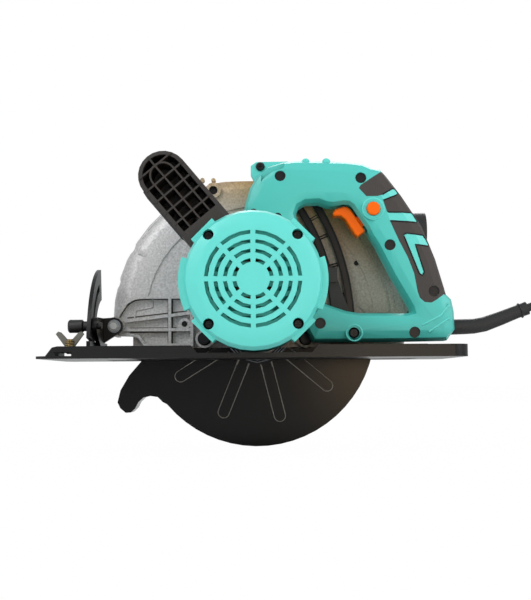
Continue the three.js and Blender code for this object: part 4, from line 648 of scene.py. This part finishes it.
def grip_half(side):
    node = nodes[f"grip_pad_{side}"]
    solid = solid_copy(f"grip solid {side}", node)
    shape = bmesh.new()
    for outline in GRIP_STRIPES:
        add_prism(shape, outline, STRIPE_NEAR, STRIPE_FAR)
    cutter = mesh_object(f"stripe cutter {side}", shape, teal)
    rubber = carved(f"grip_rubber_{side}", solid, cutter, "DIFFERENCE", grip_rubber)
    stripes = carved(f"grip_stripes_{side}", solid, cutter, "INTERSECT", teal)
    for scrap in (solid, cutter):
        bpy.data.objects.remove(scrap)
    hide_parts(node.name)
    for piece, slot in ((rubber, "grip_rubber"), (stripes, "teal_plastic")):
        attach(piece, "saw_body")


# Trim of the handle: the collar of its lock button, the ring of its big screw, grooves at its foot,
# holes at its root, drawn as black discs of painted shade, and nubs on top. Lines are sunk a little
# into its near face, and a ridge is given by its radius.
BUTTON = (92.3, 117.3)
COLLAR_RADIUS, COLLAR_SINK, COLLAR_RIDGE = 8.2, 0.4, 1.0
BIG_SCREW = (76.0, 19.5)
BIG_SCREW_RING = 6.2
FOOT_GROOVES = [[(129.5, 25.2), (144.4, 33.0), (151.0, 41.7)], [(134.5, 19.9), (151.0, 30.9)]]
LINE_SINK, LINE_RIDGE = 0.3, 0.8
BORDER_RIDGE = 0.55
ROOT_HOLES = [(-2.0, 114.8), (16.9, 111.4)]
ROOT_HOLE_RADIUS, ROOT_HOLE_DEPTH = 3.2, 0.5
HOLE_STAND = 0.15
HANDLE_NUBS = [(39.7, 156.0), (56.1, 156.0)]
HANDLE_NUB_RADIUS, HANDLE_NUB_SOFT = 3.4, 1.0
HANDLE_NUB_NEAR, HANDLE_NUB_FAR = -30.0, -10.0


def handle_details():
    collar = at_depth(arc(BUTTON, COLLAR_RADIUS, 0.0, 360.0, RING_STEPS), HANDLE_NEAR + COLLAR_SINK)
    ridges("lock_button_collar", [collar], COLLAR_RIDGE, teal, "saw_body")
    lines = [arc(BIG_SCREW, BIG_SCREW_RING, 0.0, 360.0, RING_STEPS), *FOOT_GROOVES]
    lines = [at_depth(line, HANDLE_NEAR + LINE_SINK) for line in lines]
    ridges("handle_raised_lines", lines, LINE_RIDGE, teal, "saw_body")
    borders = [run for outline in GRIP_STRIPES for run in laid_on(nodes["grip_pad_near"], outline)]
    ridges("grip_borders", borders, BORDER_RIDGE, shade_and_seam_black, "saw_body")
    holes = [circle(x, z, ROOT_HOLE_RADIUS) for x, z in ROOT_HOLES]
    plates("handle_root_holes", holes, HANDLE_NEAR - HOLE_STAND, HANDLE_NEAR + ROOT_HOLE_DEPTH,
           shade_and_seam_black, "saw_body")
    nubs = [circle(x, z, HANDLE_NUB_RADIUS) for x, z in HANDLE_NUBS]
    plates("handle_nubs", nubs, HANDLE_NUB_NEAR, HANDLE_NUB_FAR, teal, "saw_body",
           HANDLE_NUB_SOFT)


# Lower guard: the rims of its pressed beads, measured from the spindle's axis, in a light grey that
# paints their highlights
BEAD_ANGLES = (-40, -76, -112, -148)
BEAD_START, BEAD_END, BEAD_HALF = 30.0, 75.0, 4.5
BEAD_FACE, BEAD_RIDGE = 15.2, 0.75
BEAD_END_STEPS = 8


def guard_beads():
    routes = []
    for angle in BEAD_ANGLES:
        run, rise = math.cos(math.radians(angle)), math.sin(math.radians(angle))
        outline = [(BEAD_START, BEAD_HALF), (BEAD_END, BEAD_HALF)]
        outline += [(BEAD_END + BEAD_HALF * math.sin(turn), BEAD_HALF * math.cos(turn))
                    for turn in (math.pi * i / BEAD_END_STEPS for i in range(1, BEAD_END_STEPS))]
        outline += [(BEAD_END, -BEAD_HALF), (BEAD_START, -BEAD_HALF)]
        routes.append(at_depth([(out * run - side * rise, SPINDLE_HEIGHT + out * rise + side * run)
                                for out, side in outline], BEAD_FACE))
    ridges("lower_guard_bead_rims", routes, BEAD_RIDGE, painted_highlight_grey, "lower_guard_body")


# Upper guard: its step line under the arm, the cast ledge by a rim notch, the nubs by its lug and
# the marks of its depth scale
ARM_WEB_FACE = 3.5
GUARD_CENTRE = (2.0, 33.0)
STEP_LINE = [(-85.6, 51.5), (-85.6, 43.3), (-99.2, 40.8), (-100.4, 34.0)]
STEP_RIDGE = 0.9
NOTCH_PLACE = (-103.0, 93.0)
LEDGE_START, LEDGE_END, LEDGE_WIDTH = 6.0, 14.0, 4.0
LEDGE_NEAR, LEDGE_FAR, LEDGE_SOFT = 6.5, 9.0, 0.6
NUB_PLACES = [(-35.5, 148.6), (-44.6, 148.9)]
NUB_RADIUS, NUB_SIDES, NUB_SOFT = 1.8, 16, 0.5
NUB_NEAR, NUB_FAR = 5.0, 12.0
SCALE_PLACES = [(47.9, 115.7), (55.4, 100.1), (63.6, 76.3), (68.5, 51.6)]
SCALE_FACE, SCALE_GAP, SCALE_HALF, SCALE_RIDGE = 7.2, 2.0, 7.0, 0.55


def guard_castings():
    ridges("guard_step", [at_depth(STEP_LINE, ARM_WEB_FACE)], STEP_RIDGE, cast_grey, "saw_body")
    x, z = NOTCH_PLACE
    reach = Vector((GUARD_CENTRE[0] - x, GUARD_CENTRE[1] - z)).normalized()
    ends = [(x + reach.x * share, z + reach.y * share) for share in (LEDGE_START, LEDGE_END)]
    plates("guard_ledges", [bar(*ends[0], *ends[1], LEDGE_WIDTH)], LEDGE_NEAR, LEDGE_FAR, cast_grey,
           "saw_body", LEDGE_SOFT)
    nubs = [circle(x, z, NUB_RADIUS, NUB_SIDES) for x, z in NUB_PLACES]
    plates("guard_nubs", nubs, NUB_NEAR, NUB_FAR, cast_grey, "saw_body", NUB_SOFT)
    marks = []
    for x, z in SCALE_PLACES:
        slope = Vector((x - PIVOT[0], z - PIVOT[1])).normalized()
        for step in (0.0, SCALE_GAP):
            middle = (x - slope.y * step, z + slope.x * step)
            marks.append(at_depth([(middle[0] + slope.x * side, middle[1] + slope.y * side)
                                   for side in (-SCALE_HALF, SCALE_HALF)], SCALE_FACE))
    ridges("guard_scale", marks, SCALE_RIDGE, dark_steel, "saw_body")


# Lines on the upper guard. Those along its rim, on the near and on the far face, are a radius and
# two angles; a hole is a place, the face it lies in and a radius, drawn as a black disc of painted
# shade.
RIM_LINES = [(107.0, 3.0, 42.0), (111.5, 4.0, 13.0), (119.0, 4.0, 70.0), (119.0, 112.0, 146.0)]
FAR_LINES = [(108.0, 6.0, 66.0), (108.0, 114.0, 174.0), (66.0, 6.0, 174.0)]
FAR_FACE = 46.9
RIM_STEPS, RIM_RIDGE = 40, 0.7
FOOT_LINE = [(83.6, 43.6), (88.8, 37.8), (107.9, 37.8)]
ARM_BORDER = [(-112.5, 35.0), (-109.8, 39.6), (-105.4, 45.6), (-100.3, 48.8), (-93.5, 49.8),
              (-55.0, 49.8)]
ARM_RIBS = [(-71.1, 13.0, -71.1, 49.0), (-106.0, 33.0, -57.5, 38.4), (-104.0, 24.5, -66.0, 24.5)]
ARM_RIB_WIDTH, ARM_LINE_RIDGE = 3.4, 0.5
ARM_LINE_FACE = ARM_WEB_FACE - 0.1
GUARD_HOLES = [(82.3, 79.0, 7.8, 2.1), (125.3, 37.0, 6.6, 2.1), (-59.0, 29.2, -2.0, 2.0),
               (-35.6, 140.0, 7.0, 3.2)]
GUARD_HOLE_DEPTH = 0.6


def guard_lines():
    guard = nodes["upper_guard"]
    routes = []
    for radius, first, last in RIM_LINES:
        routes += laid_on(guard, arc(GUARD_CENTRE, radius, first, last, RIM_STEPS), closed=False)
    routes += laid_on(guard, FOOT_LINE, closed=False)
    for radius, first, last in FAR_LINES:
        routes.append(at_depth(arc(GUARD_CENTRE, radius, first, last, RIM_STEPS), FAR_FACE))
    ridges("guard_rim_lines", routes, RIM_RIDGE, cast_grey, "saw_body")
    # The arm's border and both sides of its ribs get thin brown lines of painted shadow
    corners = [ARM_BORDER]
    for rib in ARM_RIBS:
        outline = bar(*rib, ARM_RIB_WIDTH)
        corners += [outline[:2], outline[2:]]
    ridges("arm_painted_shadow_lines", [at_depth(corner, ARM_LINE_FACE) for corner in corners],
           ARM_LINE_RIDGE, painted_shade_brown, "saw_body")
    for i, (x, z, face, radius) in enumerate(GUARD_HOLES):
        plates(f"guard_hole_{i + 1}", [circle(x, z, radius)], face - HOLE_STAND,
               face + GUARD_HOLE_DEPTH, shade_and_seam_black, "saw_body")


# Depth arc: raised lines along both of its bands, about the pivot
ARC_RADII = (177.2, 181.8, 190.2, 194.8)
ARC_FIRST, ARC_LAST, ARC_STEPS = -2.0, 37.0, 28
ARC_FACE, ARC_RIDGE = 0.95, 0.45


def depth_arc_edges():
    routes = [at_depth(arc(PIVOT, radius, ARC_FIRST, ARC_LAST, ARC_STEPS), ARC_FACE)
              for radius in ARC_RADII]
    ridges("depth_arc_edges", routes, ARC_RIDGE, black_paint, "bevel_frame")


# Painted shade behind the air screen: a corrugated ring of darker teal, so that no dark gap
# shows between its bars
BACKING_RADII = [16.0 + 3.0 * i for i in range(7)]
BACKING_FACE, BACKING_RIDGE = -115.0, 1.6


def slot_shade_backing():
    routes = [at_depth(arc(MOTOR_AXIS, radius, 0.0, 360.0, RING_STEPS), BACKING_FACE)
              for radius in BACKING_RADII]
    ridges("air_screen_shade_backing", routes, BACKING_RIDGE, painted_shade_teal, "saw_body")


# Front handle: the zigzag grooves of its lower flank, in rows that run outwards from the motor
FRONT_ANGLE = 130.0
FRONT_FLANK = 18.55
ZIGZAG_ROWS, FIRST_ROW, ROW_PACE = 7, -99.0, 4.2
ZIGZAG_STEPS, ZIGZAG_START, ZIGZAG_PACE = 15, 60.0, 3.0
ZIGZAG_SWING, ZIGZAG_RIDGE = 1.8, 0.6


def front_handle_grip():
    along = math.radians(FRONT_ANGLE)
    out = Vector((math.cos(along), math.sin(along)))
    side = Vector((-math.sin(along), math.cos(along)))
    flank = [Vector(MOTOR_AXIS) + out * (ZIGZAG_START + i * ZIGZAG_PACE) + side * FRONT_FLANK
             for i in range(ZIGZAG_STEPS)]
    routes = [[(place.x, FIRST_ROW + row * ROW_PACE + (ZIGZAG_SWING if i % 2 else 0.0), place.y)
               for i, place in enumerate(flank)] for row in range(ZIGZAG_ROWS)]
    ridges("front_handle_zigzag", routes, ZIGZAG_RIDGE, black_plastic, "saw_body")


# Nut at the arm's end: a little smaller than the solid one, on a washer
NUT_SHARE, NUT_CORE = 0.78, 4.0
NUT_NEAR, NUT_FAR = -9.3, -4.85
BOLT_RADIUS, THREAD_RIDGE, THREAD_STEPS = 3.0, 0.3, 24
WASHER_RADIUS, WASHER_THICKNESS, WASHER_SINK, WASHER_SOFT = 5.3, 0.8, 0.1, 0.2


def pivot_nut():
    bolt = solid_copy("pivot_bolt_and_nut", nodes["pivot_bolt"])
    for vert in bolt.data.vertices:
        x, z = vert.co.x / MM - PIVOT[0], vert.co.z / MM - PIVOT[1]
        if math.hypot(x, z) > NUT_CORE:
            vert.co.x = (PIVOT[0] + x * NUT_SHARE) * MM
            vert.co.z = (PIVOT[1] + z * NUT_SHARE) * MM
    bolt.data.materials.append(zinc)
    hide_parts("pivot_bolt")
    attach(bolt, "bevel_frame")
    plates("pivot_washer", [circle(*PIVOT, WASHER_RADIUS)], NUT_FAR - WASHER_THICKNESS,
           NUT_FAR + WASHER_SINK, steel, "bevel_frame", WASHER_SOFT)
    # The thread is a thin ring in the brown of the painted shade
    thread = at_depth(arc(PIVOT, BOLT_RADIUS, 0.0, 360.0, THREAD_STEPS), NUT_NEAR)
    ridges("pivot_bolt_thread", [thread], THREAD_RIDGE, painted_shade_brown, "bevel_frame")


# Wing screw of the fence: its stem and two raised wings, measured from the stem's axis
FENCE_SCREW = (-143.0, -54.0)
STEM_FOOT, STEM_TOP, STEM_RADIUS = 4.1, 15.5, 2.6
WING_OUTLINE = [(1.2, 10.5), (3.6, 9.6), (10.8, 19.4), (9.0, 21.4), (6.6, 20.6), (1.2, 14.6)]
WING_HALF, WING_SOFT = 1.2, 0.4


def wing_screw():
    x, y = FENCE_SCREW
    stem = ridges("fence_screw_stem", [[(x, y, STEM_FOOT), (x, y, STEM_TOP)]], STEM_RADIUS, bronze,
                  "fence_screw_body")
    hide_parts("fence_screw")
    wings = [[(x + side * along, z) for along, z in WING_OUTLINE] for side in (-1, 1)]
    plates("fence_screw_wings", wings, y - WING_HALF, y + WING_HALF, dull_zinc, "fence_screw_body",
           WING_SOFT)


# Cord boot: the thin ring around its end, at a share of its length
BOOT_RING_PLACE, BOOT_RING_RADIUS, BOOT_RING_RIDGE = 0.87, 5.6, 0.65
BOOT_RING_STEPS = 20
SLOPE_STEP = 0.05


def boot_ring():
    run = BOOT_ROUTE[-1][0] - BOOT_ROUTE[0][0]
    rise = (boot_height(BOOT_RING_PLACE + SLOPE_STEP) - boot_height(BOOT_RING_PLACE)) / SLOPE_STEP
    centre = Vector((BOOT_ROUTE[0][0] + run * BOOT_RING_PLACE, CORD_SIDE,
                     boot_height(BOOT_RING_PLACE)))
    up = Vector((-rise, 0.0, run)).normalized()
    aside = Vector((0.0, 1.0, 0.0))
    ring = [tuple(centre + up * high + aside * wide)
            for high, wide in arc((0.0, 0.0), BOOT_RING_RADIUS, 0.0, 360.0, BOOT_RING_STEPS)]
    ridges("cord_boot_ring", [ring], BOOT_RING_RIDGE, cord_rubber, "saw_body")


def boot_height(share):
    """The height of the boot's middle line at a share of its length."""
    x = BOOT_ROUTE[0][0] + (BOOT_ROUTE[-1][0] - BOOT_ROUTE[0][0]) * share
    for (xa, za), (xb, zb) in zip(BOOT_ROUTE, BOOT_ROUTE[1:]):
        if x <= xb:
            return za + (zb - za) * (x - xa) / (xb - xa)
    return BOOT_ROUTE[-1][1]


# Stage and light, in metres and watts; a softbox has a name, place, width, power and colour
WHITE = (1.0, 1.0, 1.0)
WORLD_COLOUR, WORLD_STRENGTH = (0.86, 0.88, 0.9), 0.66
FLOOR_COLOUR, FLOOR_BRIGHTNESS = (0.82, 0.82, 0.82), 0.99
FLOOR_DROP, FLOOR_HALF = 0.0002, 6.0
LIGHT_AIM = (0.0, 0.0, 0.05)
SOFTBOXES = [
    ("softbox above left", (-0.9, -1.0, 1.1), 0.9, 12.5, WHITE),
    ("softbox right", (1.2, -0.9, 0.6), 0.8, 8.0, WHITE),
    ("warm card behind the camera", (0.23, -1.05, 0.03), 0.22, 0.6, (1.0, 0.72, 0.42)),
    ("softbox behind", (0.2, 1.3, 0.9), 0.8, 8.0, WHITE),
]


def studio_world():
    """An even grey light from all around, which the camera sees as white."""
    world = bpy.data.worlds.new("studio")
    bpy.context.scene.world = world
    world.use_nodes = True
    tree = world.node_tree
    output = tree.nodes["World Output"]
    soft = tree.nodes["Background"]
    soft.inputs["Color"].default_value = (*WORLD_COLOUR, 1.0)
    soft.inputs["Strength"].default_value = WORLD_STRENGTH
    white = tree.nodes.new("ShaderNodeBackground")
    white.inputs["Color"].default_value = (*WHITE, 1.0)
    white.inputs["Strength"].default_value = 1.0
    mix = tree.nodes.new("ShaderNodeMixShader")
    rays = tree.nodes.new("ShaderNodeLightPath")
    seen = tree.nodes.new("ShaderNodeMath")
    seen.operation = "MAXIMUM"
    tree.links.new(rays.outputs["Is Camera Ray"], seen.inputs[0])
    tree.links.new(rays.outputs["Is Transmission Ray"], seen.inputs[1])
    tree.links.new(seen.outputs[0], mix.inputs["Fac"])
    tree.links.new(soft.outputs[0], mix.inputs[1])
    tree.links.new(white.outputs[0], mix.inputs[2])
    tree.links.new(mix.outputs[0], output.inputs["Surface"])


def studio_floor():
    """A floor that is lit by the lamps and that the camera sees as nearly white."""
    low, half = cad_low[2] - FLOOR_DROP, FLOOR_HALF
    shape = bmesh.new()
    corners = [(-half, -half, low), (half, -half, low), (half, half, low), (-half, half, low)]
    shape.faces.new([shape.verts.new(corner) for corner in corners])
    data = bpy.data.meshes.new("floor")
    shape.to_mesh(data)
    shape.free()
    material = bpy.data.materials.new("pale floor")
    material.use_nodes = True
    tree = material.node_tree
    tree.nodes.remove(tree.nodes["Principled BSDF"])
    cloth = tree.nodes.new("ShaderNodeBsdfDiffuse")
    cloth.inputs["Color"].default_value = (*FLOOR_COLOUR, 1.0)
    glow = tree.nodes.new("ShaderNodeEmission")
    glow.inputs["Strength"].default_value = 1.0
    mix = tree.nodes.new("ShaderNodeMixShader")
    rays = tree.nodes.new("ShaderNodeLightPath")
    seen = tree.nodes.new("ShaderNodeMath")
    seen.operation = "MULTIPLY"
    seen.inputs[1].default_value = FLOOR_BRIGHTNESS
    tree.links.new(rays.outputs["Is Camera Ray"], seen.inputs[0])
    tree.links.new(seen.outputs[0], mix.inputs["Fac"])
    tree.links.new(cloth.outputs[0], mix.inputs[1])
    tree.links.new(glow.outputs[0], mix.inputs[2])
    tree.links.new(mix.outputs[0], tree.nodes["Material Output"].inputs["Surface"])
    data.materials.append(material)
    add_object("floor", data)


def studio_light():
    for name, place, width, power, colour in SOFTBOXES:
        data = bpy.data.lights.new(name, "AREA")
        data.shape = "SQUARE"
        data.size = width
        data.energy = power
        data.color = colour
        lamp = add_object(name, data)
        lamp.location = place
        aim = Vector(LIGHT_AIM) - Vector(place)
        lamp.rotation_euler = aim.to_track_quat("-Z", "Y").to_euler()


studio_camera()
studio_world()
studio_floor()
studio_light()
paint_frame()
supply_cord()
housing_screws()
guard_beads()
guard_castings()
guard_lines()
handle_details()
slot_shade_backing()
depth_arc_edges()
front_handle_grip()
boot_ring()
wing_screw()
pivot_nut()
grip_half("near")
grip_half("far")
soften_frame()

bpy.context.scene.view_settings.view_transform = "Standard"
